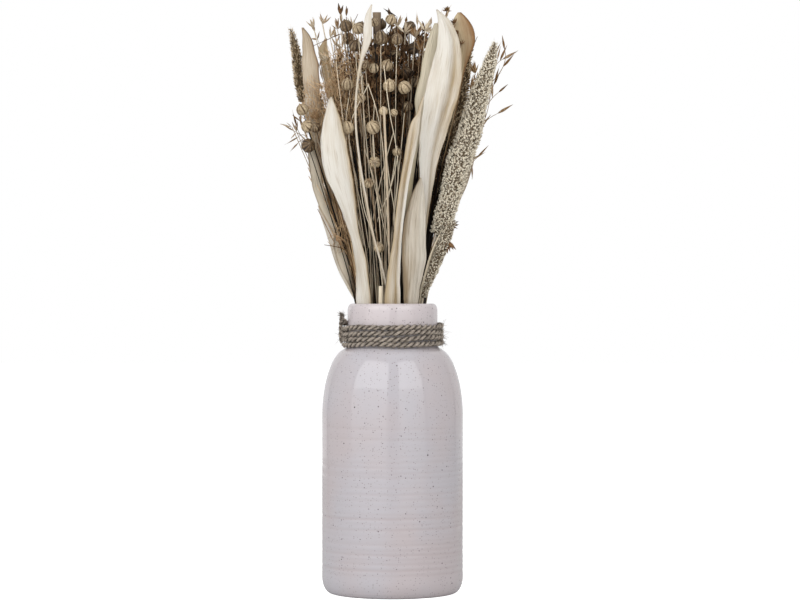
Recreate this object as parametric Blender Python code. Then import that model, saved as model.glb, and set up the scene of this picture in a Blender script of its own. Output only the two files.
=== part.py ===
"""Dried flowers in a stoneware vase: leaves, flax pods, foxtails and oats standing in a vase tied with twine.

Every size is in millimetres and is turned to metres where a mesh is made. The origin is the centre of the
vase's foot on the table, +Z is up and -Y is the front.
"""

import math
import random

import bpy
import numpy as np

MM = 0.001

# Vase
VASE_HEIGHT = 194.7
BODY_RADIUS = 47.6
FOOT_RADIUS = 41.5
FOOT_ROUNDING = 11.0
SHOULDER_START = 118.0
SHOULDER_END = 164.6
NECK_RADIUS = 30.4
SHOULDER_INNER_RADIUS = 30.0
NECK_FILLET = 2.6
LIP_DROP = 5.0
WALL = 4.2
FLOOR = 5.0
VASE_STEPS = 32

# Twine
TWINE_DIAMETER = 3.4
TWINE_PITCH = 3.72
TWINE_TURNS = 3.85
TWINE_LOWEST = 167.3

# Bouquet
REST_GAP = 0.3
STEM_FOOT = FLOOR + REST_GAP
STALK_LOW = 80.0
STALK_HIGH = 150.0
NECK_ENTRY = 186.0
RIM = 195.0
LEAF_THICKNESS = 0.8
STEM_RADIUS = 0.6
STEM_SIDES = 3


# Shared shapes


def colour(hex_text):
    """An sRGB hex colour as the linear values that Blender stores."""
    parts = [int(hex_text[i : i + 2], 16) / 255 for i in (0, 2, 4)]
    linear = [p / 12.92 if p <= 0.04045 else ((p + 0.055) / 1.055) ** 2.4 for p in parts]
    return (*linear, 1.0)


def material(name, hex_text, roughness):
    made = bpy.data.materials.new(name)
    made.use_nodes = True
    shader = made.node_tree.nodes["Principled BSDF"]
    shader.inputs["Base Color"].default_value = colour(hex_text)
    shader.inputs["Roughness"].default_value = roughness
    shader.inputs["Metallic"].default_value = 0.0
    made.diffuse_color = colour(hex_text)
    return made


def add_object(name, shape, hex_text, roughness=0.8):
    """One piece of the object, from points in millimetres and faces."""
    points, faces = shape
    mesh = bpy.data.meshes.new(name)
    mesh.from_pydata((np.asarray(points) * MM).tolist(), [], faces)
    mesh.shade_smooth()
    mesh.set_sharp_from_angle(angle=math.radians(50))
    mesh.materials.append(material(name, hex_text, roughness))
    made = bpy.data.objects.new(name, mesh)
    bpy.context.scene.collection.objects.link(made)
    return made


def smooth(stations, count):
    """Stations joined by a curve through each of them, read at evenly spaced places along it."""
    stations = np.asarray(stations, float)
    steps = np.linalg.norm(np.diff(stations[:, :3], axis=0), axis=1)
    along = np.concatenate([[0.0], np.cumsum(steps)])
    slope = np.gradient(stations, along, axis=0)
    at = np.linspace(0, along[-1], count)
    i = np.clip(np.searchsorted(along, at, side="right") - 1, 0, len(along) - 2)
    width = (along[i + 1] - along[i])[:, None]
    t = (at - along[i])[:, None] / width
    return (
        (2 * t**3 - 3 * t**2 + 1) * stations[i]
        + (t**3 - 2 * t**2 + t) * width * slope[i]
        + (3 * t**2 - 2 * t**3) * stations[i + 1]
        + (t**3 - t**2) * width * slope[i + 1]
    )


def unit(vectors):
    return vectors / np.linalg.norm(vectors, axis=-1, keepdims=True)


def carried(path, radii, across=None, lift=None):
    """A closed tube: a ring at each point of the path, with its radius at each side. lift moves a point along."""
    path = np.asarray(path, float)
    radii = np.asarray(radii, float)
    rows, sides = radii.shape
    ahead = unit(np.gradient(path, axis=0))
    if across is None:
        across = np.eye(3)[np.argmin(np.abs(path[-1] - path[0]))]
    first = unit(across - ahead * (ahead @ across)[:, None])
    second = np.cross(ahead, first)
    turn = np.arange(sides) * 2 * math.pi / sides
    ring = first[:, None] * np.cos(turn)[:, None] + second[:, None] * np.sin(turn)[:, None]
    points = path[:, None] + ring * radii[..., None]
    if lift is not None:
        points = points + ahead[:, None] * np.asarray(lift)[..., None]
    faces = []
    for row in range(rows - 1):
        low, high = row * sides, (row + 1) * sides
        for side in range(sides):
            after = (side + 1) % sides
            faces.append((low + side, low + after, high + after))
            faces.append((low + side, high + after, high + side))
    faces.append(tuple(range(sides - 1, -1, -1)))
    faces.append(tuple(range((rows - 1) * sides, rows * sides)))
    return points.reshape(-1, 3), faces


def stem(path, start_radius, end_radius, sides=STEM_SIDES):
    radii = np.linspace(start_radius, end_radius, len(path))
    return carried(path, np.repeat(radii[:, None], sides, axis=1))


def fused(pieces):
    """Closed shapes joined into one by a Boolean union, as points in millimetres and faces."""
    group = bpy.data.collections.new("pieces")
    made = []
    for points, faces in pieces:
        mesh = bpy.data.meshes.new("piece")
        mesh.from_pydata((np.asarray(points) * MM).tolist(), [], faces)
        made.append(bpy.data.objects.new("piece", mesh))
        if len(made) > 1:
            group.objects.link(made[-1])
    bpy.context.scene.collection.objects.link(made[0])
    union = made[0].modifiers.new("join", "BOOLEAN")
    union.operation = "UNION"
    union.operand_type = "COLLECTION"
    union.collection = group
    bpy.context.view_layer.update()
    evaluated = made[0].evaluated_get(bpy.context.evaluated_depsgraph_get())
    mesh = evaluated.to_mesh()
    points = np.array([v.co[:] for v in mesh.vertices]) / MM
    faces = [tuple(p.vertices) for p in mesh.polygons]
    evaluated.to_mesh_clear()
    for piece in made:
        bpy.data.objects.remove(piece, do_unlink=True)
    bpy.data.collections.remove(group)
    return points, faces


def pod(centre, direction, radius):
    """A flax pod: a five-sided ball with a stalk end and a pointed top."""
    along = np.array([-0.95, -0.3, 0.5, 1.3])
    wide = np.array([0.35, 1.0, 0.86, 0.08])
    path = np.asarray(centre, float) + unit(np.asarray(direction, float)) * (along * radius)[:, None]
    return carried(path, radius * wide[:, None] * np.ones(5))


def husk(path, twig_radius, husk_length, husk_width):
    """A three-sided twig along the path that swells into a narrow pointed husk past its end."""
    path = np.asarray(path, float)
    ahead = unit(path[-1] - path[-2])
    beyond = path[-1] + ahead * husk_length * np.array([0.12, 0.45, 1.0])[:, None]
    radii = [twig_radius] * len(path) + [husk_width * 0.6, husk_width, husk_width * 0.12]
    return carried(np.concatenate([path, beyond]), np.array(radii)[:, None] * np.ones(3))


# Vase: a turned wall, closed at the foot and open at the rim


def quarter(centre, radii, start, end, count):
    """Part of an ellipse in the vase's section, from one angle to another in degrees."""
    turn = np.radians(np.linspace(start, end, count))
    return np.stack([centre[0] + radii[0] * np.cos(turn), centre[1] + radii[1] * np.sin(turn)], axis=1)


def vase_section():
    """The wall's outline from the middle of the floor inside, over the lip and down to the foot outside."""
    shoulder_height = SHOULDER_END - SHOULDER_START
    shoulder_reach = BODY_RADIUS - SHOULDER_INNER_RADIUS
    inner_body = BODY_RADIUS - WALL
    inner_neck = NECK_RADIUS - WALL
    lip_middle = NECK_RADIUS - WALL / 2
    lip = quarter((lip_middle, VASE_HEIGHT - LIP_DROP), (WALL / 2, LIP_DROP), 180, 0, 7)
    inside = [
        (0.0, FLOOR),
        (FOOT_RADIUS - WALL, FLOOR),
        (inner_body, FLOOR + 6),
        *quarter(
            (inner_neck - 0.6, SHOULDER_START),
            (inner_body - inner_neck + 0.6, shoulder_height - WALL),
            0,
            84,
            3,
        ),
        (inner_neck, SHOULDER_END),
    ]
    shoulder = quarter((SHOULDER_INNER_RADIUS, SHOULDER_START), (shoulder_reach, shoulder_height), 76, 0, 8)
    foot = quarter((FOOT_RADIUS, FOOT_ROUNDING), (BODY_RADIUS - FOOT_RADIUS, FOOT_ROUNDING), 0, -90, 5)
    fillet = quarter((NECK_RADIUS + NECK_FILLET, SHOULDER_END + NECK_FILLET), (NECK_FILLET, NECK_FILLET), 180, 245, 3)
    return np.concatenate([inside, lip, fillet, shoulder, foot, [(0.0, 0.0)]])


def add_vase():
    section = vase_section() * MM
    mesh = bpy.data.meshes.new("vase")
    mesh.from_pydata(
        [(r, 0.0, z) for r, z in section.tolist()], [(i, i + 1) for i in range(len(section) - 1)], []
    )
    mesh.materials.append(material("vase", "CFC7C9", 0.18))
    vase = bpy.data.objects.new("vase", mesh)
    bpy.context.scene.collection.objects.link(vase)
    turned = vase.modifiers.new("turned", "SCREW")
    turned.steps = VASE_STEPS
    turned.render_steps = VASE_STEPS
    turned.use_merge_vertices = True
    turned.merge_threshold = 0.00001
    turned.use_smooth_shade = True


# Twine: one cord wound round the neck above the shoulder, with a frayed knot at the left


def add_twine():
    radius = TWINE_DIAMETER / 2
    count = int(TWINE_TURNS * 17)
    share = np.linspace(0, 1, count)
    turn = math.radians(190) + (share - 1) * TWINE_TURNS * 2 * math.pi
    away = NECK_RADIUS + REST_GAP + radius + 0.45
    height = TWINE_LOWEST + share * TWINE_TURNS * TWINE_PITCH
    coil = np.stack([away * np.cos(turn), away * np.sin(turn), height], axis=1)
    cord = carried(coil, np.full((count, 5), radius), across=np.array([0.0, 0.0, 1.0]))
    knot_at = coil[-1] + np.array([-0.6, -0.3, 1.2])
    knot = carried(
        knot_at + np.outer(np.linspace(-1, 1, 5), (-1.4, 0.9, 1.6)),
        np.array([0.7, 2.0, 2.3, 1.9, 0.6])[:, None] * np.ones(6),
    )
    pieces = [cord, knot]
    for reach in ((-3.4, -1.5, 4.2), (-4.2, 0.6, 2.6), (-2.6, -2.6, 1.4)):
        tip = knot_at + np.array(reach)
        pieces.append(stem(np.stack([knot_at, (knot_at + tip) / 2, tip]), 0.8, 0.35, 4))
    add_object("twine", fused(pieces), "8E8172", 0.95)


# Leaves: each a thin blade on its own stalk, given by stations from its tip down to the rim.
# A station is (height, x, y, half width, turn in degrees seen from above, cup of the middle towards the front).


def blade(stations, stalk=0.9, rows=13, cells=4, wave=0.0, wave_length=34.0):
    """A leaf as one closed sheet with triangles alike on both faces, that narrows to a stalk inside the vase."""
    top = [(x, y, z, half, turn, cup) for z, x, y, half, turn, cup in stations]
    x, y, _, _, turn, _ = top[-1]
    top.append((x, y, STALK_HIGH, stalk * 1.2, turn, 0.0))
    above = smooth(top, rows)
    foot = np.array([[x, y, height, stalk, turn, 0.0] for height in (STALK_LOW, STEM_FOOT)])
    line = np.concatenate([above, foot])[::-1]
    centre, half, turn, cup = line[:, :3], np.maximum(line[:, 3], 0.35), np.radians(line[:, 4]), line[:, 5]
    across = np.stack([np.cos(turn), np.sin(turn), np.zeros(len(turn))], axis=1)
    ahead = unit(np.gradient(centre, axis=0))
    front = unit(np.cross(across, ahead))
    share = np.linspace(-1, 1, cells + 1)
    bulge = cup[:, None] * (1 - share**2)
    ripple = wave * np.sin(2 * math.pi * centre[:, 2] / wave_length)[:, None] * share * np.abs(share)
    ripple = ripple * np.clip(half / 4, 0, 1)[:, None]
    sheet = centre[:, None] + across[:, None] * (half[:, None] * share)[..., None]
    sheet = sheet + front[:, None] * (bulge + ripple)[..., None]
    along_rows = np.gradient(sheet, axis=0)
    along_cells = np.gradient(sheet, axis=1)
    out = unit(np.cross(along_cells, along_rows)) * LEAF_THICKNESS / 2
    points = np.concatenate([(sheet + out).reshape(-1, 3), (sheet - out).reshape(-1, 3)])
    width = cells + 1
    back = len(line) * width
    faces = []
    for row in range(len(line) - 1):
        for cell in range(cells):
            a = row * width + cell
            b, c, d = a + 1, a + width + 1, a + width
            faces += [(a, b, c), (a, c, d), (back + a, back + c, back + b), (back + a, back + d, back + c)]
        for a, c in ((row * width, (row + 1) * width), ((row + 2) * width - 1, (row + 1) * width - 1)):
            faces += [(a, c, back + c), (a, back + c, back + a)]
    last = (len(line) - 1) * width
    for cell in range(cells):
        a = cell
        faces += [(a + 1, a, back + a), (a + 1, back + a, back + a + 1)]
        c = last + cell
        faces += [(c, c + 1, back + c + 1), (c, back + c + 1, back + c)]
    return points, faces


LEAVES = {
    "leaf_big_left": (
        "E2D9C8",
        dict(wave=0.8),
        (
            (332, -40.7, -27, 0.4, 0, 0),
            (322, -40.3, -28, 4.5, 0, 1.2),
            (303, -39.6, -29, 8.8, 4, 2.4),
            (283, -36.8, -28, 10.0, 6, 3.0),
            (264, -31.1, -26, 6.5, 0, 2.0),
            (247, -26.6, -23, 4.2, -12, 1.2),
            (235, -23.5, -20.5, 3.4, -24, 1.0),
            (222, -20.9, -17.5, 5.1, -34, 1.2),
            (208, -19.4, -14.2, 6.2, -38, 1.4),
            (195, -18.6, -12.9, 6.0, -38, 1.4),
        ),
    ),
    "leaf_outer_left": (
        "C9B899",
        dict(rows=12, cells=2),
        (
            (305, -54.8, -13, 0.8, 0, 0),
            (296, -53.9, -13, 2.5, 0, 0.6),
            (284, -51.9, -13, 3.9, 0, 0.8),
            (271, -49.4, -13, 4.0, 5, 0.8),
            (256, -44.4, -11.5, 3.0, 10, 0.6),
            (243, -38.2, -9.5, 2.2, 10, 0.4),
            (231, -35.7, -8, 3.7, 10, 0.6),
            (217, -31.3, -5.5, 3.7, 10, 0.6),
            (204, -27.1, -3.8, 2.2, 60, 0.2),
            (195, -24.3, -3.2, 1.3, 80, 0),
        ),
    ),
    "leaf_pale_left": (
        "DDD2BD",
        dict(rows=11, cells=2),
        (
            (261, -49.8, 2, 0.6, 0, 0),
            (251, -45.3, 2, 2.4, 0, 0.5),
            (238, -40.5, 2, 3.0, 0, 0.6),
            (221, -35.5, 2, 2.7, 0, 0.6),
            (205, -29.0, 2, 2.0, -50, 0.3),
            (195, -24.3, 2.2, 1.4, -85, 0),
        ),
    ),
    "leaf_far_left": (
        "CDBB98",
        dict(cells=2, rows=12),
        (
            (380, -60.4, -9, 0.5, 0, 0),
            (375, -58.1, -9, 2.5, 0, 0.5),
            (364, -56.1, -9, 4.5, 0, 1.0),
            (344, -54.3, -9, 5.7, 0, 1.4),
            (324, -52.6, -9, 5.4, 0, 1.2),
            (298, -47.3, -7, 4.0, 0, 0.8),
            (264, -39.3, -5, 2.4, 0, 0.4),
            (195, -20.6, -1.2, 1.1, 0, 0),
        ),
    ),
    "leaf_inner_left": (
        "BFAA86",
        dict(rows=11, cells=2),
        (
            (374, -45.0, 3, 0.7, 0, 0),
            (367, -46.8, 3, 3.2, 0, 0.6),
            (356, -44.6, 3, 3.7, 0, 0.8),
            (339, -40.9, 3, 4.1, 0, 0.8),
            (305, -36.2, 3, 2.7, 0, 0.5),
            (250, -27.5, 3, 1.4, 0, 0.2),
            (195, -16.9, 3, 1.0, 0, 0),
        ),
    ),
    "leaf_thin_centre": (
        "E0D6C2",
        dict(rows=15, cells=2, stalk=0.7),
        (
            (393, -13.7, -30, 0.4, 0, 0),
            (388, -15.6, -31, 1.0, 0, 0.2),
            (381, -16.6, -32, 2.0, 0, 0.5),
            (369, -16.7, -33, 2.3, 0, 0.6),
            (356, -20.8, -35, 1.0, 0, 0.2),
            (323, -24.3, -36, 0.7, 0, 0),
            (286, -21.2, -33, 0.7, 0, 0),
            (263, -17.2, -31, 0.7, 0, 0),
            (240, -12.6, -28, 0.7, 0, 0),
            (218, -6.7, -22.5, 0.7, 0, 0),
            (195, -2.3, -18.3, 0.7, 0, 0),
        ),
    ),
    "strip_brown": (
        "A08C70",
        dict(rows=7, cells=2),
        (
            (391, -10.6, -3, 2.7, 0, 0.2),
            (377, -10.4, -3, 2.7, 0, 0.3),
            (332, -8.7, -3, 2.4, 0, 0.2),
            (264, -5.7, -2.5, 1.6, 0, 0.1),
            (195, -4.0, -2.5, 1.2, 0, 0),
        ),
    ),
    "leaf_big_right": (
        "E4DCCB",
        dict(rows=16, wave=0.9),
        (
            (389, 29.4, -36, 0.4, 0, 0),
            (382, 33.9, -36, 3.8, 0, 0.8),
            (369, 37.0, -36, 6.9, -4, 1.8),
            (350, 35.7, -35, 10.6, -6, 2.8),
            (329, 31.9, -34, 11.1, -4, 2.8),
            (310, 27.7, -31, 9.1, 0, 2.2),
            (290, 24.1, -28, 6.5, 0, 1.4),
            (274, 22.9, -25, 4.3, 0, 0.8),
            (257, 22.2, -22, 2.2, 0, 0.3),
            (237, 19.4, -18.5, 2.3, 0, 0.3),
            (195, 11.7, -15, 2.2, 10, 0.2),
        ),
    ),
    "leaf_grey_right": (
        "B9B29C",
        dict(cells=2, rows=13),
        (
            (381, 28.9, -27, 0.9, 0, 0),
            (370, 27.6, -27, 4.0, 0, 0.8),
            (357, 25.3, -26, 5.0, 0, 1.0),
            (343, 22.6, -25, 5.0, 0, 1.0),
            (330, 19.6, -24, 4.7, 0, 0.8),
            (322, 18.8, -23, 3.5, 0, 0.6),
            (304, 16.3, -21, 2.7, 0, 0.4),
            (264, 10.7, -17, 2.2, 0, 0.3),
            (195, 3.7, -11, 1.6, 0, 0.1),
        ),
    ),
    "leaf_folded_front": (
        "E6DECD",
        dict(cells=2, rows=14),
        (
            (330, 19.7, -44, 0.5, 0, 0),
            (318, 16.6, -44, 2.1, 0, 0.5),
            (309, 14.3, -44, 3.5, 0, 1.0),
            (292, 11.2, -42, 3.3, 0, 1.0),
            (273, 7.7, -39, 3.1, 0, 0.9),
            (253, 5.0, -35, 3.0, 0, 0.8),
            (233, 2.8, -31, 3.1, 0, 0.8),
            (214, 0.8, -27, 4.5, 0, 0.9),
            (195, -0.2, -23.4, 5.6, 0, 0.7),
        ),
    ),
    "leaf_low_right": (
        "DFD5C2",
        dict(rows=12),
        (
            (278, 18.7, -33, 0.5, 0, 0),
            (270, 17.4, -32, 3.5, 0, 0.8),
            (257, 15.6, -31, 6.0, 0, 1.8),
            (240, 14.4, -28.5, 7.8, 6, 2.4),
            (224, 14.6, -26, 7.6, 14, 2.0),
            (210, 13.5, -23, 6.2, 24, 1.4),
            (195, 12.5, -20.2, 4.9, 30, 0.8),
        ),
    ),
    "leaf_tan_right": (
        "A98155",
        dict(cells=2, rows=13),
        (
            (390, 44.9, -11, 1.0, 0, 0),
            (386, 45.6, -11, 4.4, 0, 0.7),
            (379, 47.1, -11, 7.2, 0, 1.2),
            (370, 48.8, -11, 6.9, 0, 1.2),
            (362, 48.6, -10, 4.0, 0, 0.7),
            (356, 48.1, -10, 2.2, 0, 0.3),
            (332, 43.7, -9, 1.5, 0, 0.2),
            (264, 27.9, -5, 1.2, 0, 0.1),
            (195, 14.6, -1.2, 1.0, 0, 0),
        ),
    ),
    "leaf_back_left": (
        "D6C9AF",
        dict(cells=3, wave=0.8),
        (
            (365, -38, 40, 0.5, 180, 0),
            (350, -37, 41, 5.5, 180, 1.2),
            (328, -34, 41, 8.8, 184, 2.4),
            (300, -29, 38, 9.0, 186, 2.6),
            (270, -22, 32, 6.0, 182, 1.8),
            (240, -16, 25.5, 3.8, 182, 1.0),
            (215, -12.5, 22, 4.4, 196, 1.0),
            (195, -11.0, 20.2, 4.6, 206, 1.0),
        ),
    ),
    "leaf_back_right": (
        "DDD2BE",
        dict(cells=3, wave=0.8),
        (
            (378, 30, 44, 0.5, 180, 0),
            (362, 30, 45, 6.0, 178, 1.4),
            (338, 28, 45, 9.4, 176, 2.6),
            (306, 23, 41, 8.8, 176, 2.4),
            (272, 16, 34, 5.4, 178, 1.5),
            (236, 9, 27, 3.6, 178, 0.9),
            (212, 6, 24.4, 4.6, 176, 0.9),
            (195, 5.0, 23.2, 4.8, 174, 0.7),
        ),
    ),
    "leaf_back_outer": (
        "C8B694",
        dict(cells=2, rows=12),
        (
            (318, 56, 24, 0.5, 150, 0),
            (306, 54, 24, 3.6, 150, 0.8),
            (286, 49, 23.5, 5.6, 150, 1.4),
            (260, 40, 21, 4.6, 148, 1.0),
            (230, 29, 17.5, 3.0, 146, 0.6),
            (195, 18.6, 13.6, 2.0, 140, 0.2),
        ),
    ),
}


def add_leaves():
    for name, (hex_text, form, stations) in LEAVES.items():
        add_object(name, blade(stations, **form), hex_text, 0.7)


# Cut ends at the front of the neck: a pale stick with a square top and a thin flattened reed


def add_cut_ends():
    stick = smooth([(-8.2, -20.8, STEM_FOOT), (-8.2, -20.8, STALK_HIGH), (-7.6, -21.2, 206.4)], 6)
    add_object("cut_stick", stem(stick, 1.8, 1.8, 5), "E3D9C6", 0.8)
    reed = smooth(
        [
            (-1.0, -14.3, STEM_FOOT),
            (-1.0, -14.3, NECK_ENTRY),
            (-2.4, -24, 240),
            (-4.3, -32, 296),
            (-5.3, -33, 318),
        ],
        12,
    )
    add_object("reed", stem(np.concatenate([reed, [(-5.4, -33, 325)]]), 0.8, 1.1, 4), "D8CBB2", 0.8)


# Flax: stems that branch inside the vase and fan out, each with pods on short stalks.
# A spray is its place in the neck, the place its middle leans to, and pods as (x, y, height, radius).


FLAX_FORK = 140.0
FLAX_RING_FROM = 172.0
FLAX_SPREAD_FROM = 180.0
FLAX_NECK_RING = 1.9


def middle(slot, lean, top, heights):
    """A spray's middle line: straight up to the neck, then out to where it leans."""
    heights = np.asarray(heights, float)
    rise = np.clip((heights - FLAX_SPREAD_FROM) / (top - FLAX_SPREAD_FROM), 0, None)
    share = rise**1.15
    return np.stack(
        [slot[0] + (lean[0] - slot[0]) * share, slot[1] + (lean[1] - slot[1]) * share, heights], axis=1
    )


def flax_spray(slot, lean, pods, thick=1.0):
    """A trunk that forks inside the vase. Its stems leave the neck in a ring, in the order of their pods round it."""
    top = max(height for _, _, height, _ in pods)
    trunk = middle(slot, lean, top, [STEM_FOOT, STALK_LOW, FLAX_FORK])
    pieces = [stem(trunk, thick + 0.2, thick, 4)]
    places = np.array([pod_place[:3] for pod_place in pods], float)
    outward = places[:, :2] - middle(slot, lean, top, places[:, 2])[:, :2]
    order = np.argsort(np.argsort(np.arctan2(outward[:, 1], outward[:, 0])))
    for (x, y, height, radius), reach, place in zip(pods, outward, order):
        turn = 2 * math.pi * place / len(pods) - math.pi
        ring = FLAX_NECK_RING * np.array([math.cos(turn), math.sin(turn)])
        root = FLAX_FORK - 4
        heights = np.array([root, FLAX_RING_FROM, *np.linspace(RIM, height - 0.8 * radius, 4)])
        line = middle(slot, lean, top, heights)
        share = np.clip((heights - FLAX_RING_FROM) / (heights[-1] - FLAX_RING_FROM), 0, 1)[:, None]
        line[1:, :2] += (ring * (1 - share) + reach * share**1.4)[1:]
        pieces.append(stem(line, STEM_RADIUS, STEM_RADIUS * 0.85))
        direction = line[-1] - line[-2]
        pieces.append(pod((x, y, height), direction, radius))
    return fused(pieces)


FLAX = {
    "flax_front_left": (
        (-11.5, -8.6),
        (-25, -20),
        (
            (-31, -19, 380, 4.3),
            (-23, -22, 378, 4.0),
            (-25, -18, 367, 4.0),
            (-30, -20, 341, 4.0),
            (-30, -21, 312, 4.3),
            (-21, -18, 332, 3.3),
        ),
    ),
    "flax_front_middle": (
        (-6.4, -9.6),
        (-13, -21),
        (
            (-12, -22, 382, 3.0),
            (-8, -20, 372, 4.7),
            (-12.5, -16.5, 352, 3.3),
            (-18, -22, 354, 3.0),
            (-13, -25, 312, 4.7),
            (-12, -17, 289, 4.0),
            (-16, -20, 275, 3.3),
            (-9, -18, 232, 3.3),
        ),
    ),
    "flax_front_right": (
        (-0.9, -7.6),
        (2, -20),
        (
            (-1, -21, 384, 3.7),
            (3, -20, 371, 4.0),
            (-3.5, -16, 354, 4.2),
            (-2, -22, 340, 4.3),
            (8, -19, 339, 4.3),
            (3, -19, 296, 3.0),
            (1, -21, 322, 2.6),
            (-6, -23, 323, 3.0),
        ),
    ),
    "flax_middle_right": (
        (7.4, -5.2),
        (11, -6),
        (
            (11, -6, 381, 3.6),
            (14, -7, 366, 4.0),
            (9, -5, 350, 4.4),
            (10, -8, 327, 3.6),
            (2, -8, 362, 3.4),
            (15, -4, 344, 3.8),
        ),
    ),
    "flax_middle": (
        (2.0, -0.6),
        (-3, 6),
        (
            (-4, 5, 366, 3.6),
            (-11, 6, 361, 3.6),
            (-8, 7, 384, 3.8),
            (0, 7, 346, 4.0),
            (-9, 4, 336, 3.8),
            (3, 5, 378, 3.8),
        ),
    ),
    "flax_left": (
        (-20.3, -5.2),
        (-53, -22),
        (
            (-60, -22, 324, 4.0),
            (-57, -20, 313, 4.0),
            (-56, -22, 300, 4.7),
            (-51, -22, 312, 3.3),
        ),
    ),
    "flax_back_left": (
        (-9.0, 7.4),
        (-24, 25),
        (
            (-30, 24, 376, 4.2),
            (-22, 26, 384, 4.0),
            (-25, 24, 356, 4.0),
            (-34, 26, 348, 4.2),
            (-20, 27, 338, 4.2),
            (-28, 26, 322, 3.8),
        ),
    ),
    "flax_back_middle": (
        (-2.2, 8.4),
        (-5, 27),
        (
            (-9, 27, 386, 4.2),
            (0, 26, 376, 4.0),
            (-6, 30, 362, 4.2),
            (-12, 26, 346, 4.0),
            (2, 29, 344, 4.2),
            (-4, 31, 322, 4.2),
        ),
    ),
    "flax_back_right": (
        (5.6, 9.4),
        (16, 25),
        (
            (12, 24, 384, 4.0),
            (21, 26, 374, 4.2),
            (14, 27, 358, 4.2),
            (22, 23, 348, 4.0),
            (13, 26, 330, 4.0),
            (20, 28, 316, 3.8),
        ),
    ),
}


def add_flax():
    for name, (slot, lean, pods) in FLAX.items():
        add_object(name, flax_spray(slot, lean, pods), "94836A", 0.75)


# Foxtails: a head of short bristles raised from a tapered core, on a thin stalk.
# A head is its stations (x, y, height, radius) from the top down, then its slot in the neck.


def foxtail(stations, slot, rows, sides, bristle, seed, stalk=1.1):
    """One closed surface: rings down the head whose every other point stands out and up, then a plain stalk."""
    rng = random.Random(seed)
    head = smooth(stations, rows)[::-1]
    low = head[0]
    half_way = ((slot[0] + low[0]) / 2, (slot[1] + low[1]) / 2, (NECK_ENTRY + low[2]) / 2, stalk)
    straight = [(*slot, height, stalk) for height in (STEM_FOOT, STALK_HIGH, NECK_ENTRY)]
    lower = smooth([*straight, half_way, (low[0], low[1], low[2] - 2.5, stalk)], 9)
    line = np.concatenate([lower, head])
    radii = np.repeat(line[:, 3:4], sides, axis=1)
    lift = np.zeros_like(radii)
    spacing = (head[-1, 2] - head[0, 2]) / rows
    for row in range(len(lower) + 1, len(line) - 1):
        for side in range(sides):
            if (row + side) % 2:
                radii[row, side] *= 0.68
                continue
            radii[row, side] += bristle * rng.uniform(-0.4, 0.6)
            lift[row, side] = spacing * rng.uniform(0.25, 0.6)
    return carried(line[:, :3], radii, across=np.array([1.0, 0.0, 0.0]), lift=lift)


FOXTAILS = {
    "foxtail_big": (
        "A89C86",
        (16.6, -5.8),
        dict(rows=31, sides=10, bristle=1.2, seed=1),
        (
            (70, -18, 372, 0.7),
            (68, -18, 366, 2.6),
            (61, -18, 344, 5.7),
            (57, -18, 331, 7.3),
            (50, -18, 304, 8.7),
            (45, -18, 291, 9.3),
            (38, -16.5, 264, 7.3),
            (34, -15, 251, 7.0),
            (30, -13, 241, 5.0),
        ),
    ),
    "foxtail_dark": (
        "5F4A36",
        (20.4, 2.2),
        dict(rows=24, sides=8, bristle=0.9, seed=2),
        (
            (49.5, 1, 381, 0.6),
            (49, 1, 376, 3.0),
            (47, 1, 342, 4.4),
            (42, 1, 312, 4.7),
            (37, 1, 292, 4.7),
            (32, 1, 270, 4.4),
            (27, 1, 251, 2.6),
        ),
    ),
    "foxtail_low_right": (
        "7C6F58",
        (19.2, -10.4),
        dict(rows=14, sides=8, bristle=0.6, seed=3),
        (
            (41, -23, 250, 0.6),
            (38, -22.5, 244, 2.6),
            (30, -18, 224, 3.4),
            (22.6, -13, 207, 3.0),
            (20.2, -11.2, 199, 2.0),
        ),
    ),
    "foxtail_left": (
        "5E4B3A",
        (-20.6, 6.6),
        dict(rows=18, sides=6, bristle=0.8, seed=4),
        (
            (-69, 3, 381, 0.5),
            (-67.5, 3, 377, 1.6),
            (-66, 3, 369, 3.0),
            (-64.5, 3, 356, 3.6),
            (-63, 3, 342, 3.6),
            (-61, 3, 331, 2.0),
        ),
    ),
    "foxtail_back_left": (
        "A5967C",
        (-16.6, 15.6),
        dict(rows=19, sides=8, bristle=1.0, seed=5),
        (
            (-58, 30, 352, 0.6),
            (-56.5, 30, 346, 2.6),
            (-51, 29, 322, 5.4),
            (-45, 28, 298, 6.6),
            (-39, 26, 276, 6.2),
            (-33, 24, 256, 3.6),
        ),
    ),
    "foxtail_back_right": (
        "AFA38C",
        (12.6, 17.6),
        dict(rows=21, sides=8, bristle=1.0, seed=6),
        (
            (46, 34, 366, 0.6),
            (45, 34, 360, 2.8),
            (41, 34, 334, 5.6),
            (36, 33, 308, 6.6),
            (30, 31, 284, 6.0),
            (25, 29, 262, 3.4),
        ),
    ),
}


def add_foxtails():
    for name, (hex_text, slot, form, stations) in FOXTAILS.items():
        add_object(name, foxtail(stations, slot, **form), hex_text, 0.95)


# Oats and twiggy sprays: a thin stem with side twigs, each ending in husks.
# A spray is its slot in the neck, the stem's points above it, and twigs as (start height share, tip x, y, height).


HUSK_STEM_RADIUS = 0.7


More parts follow.
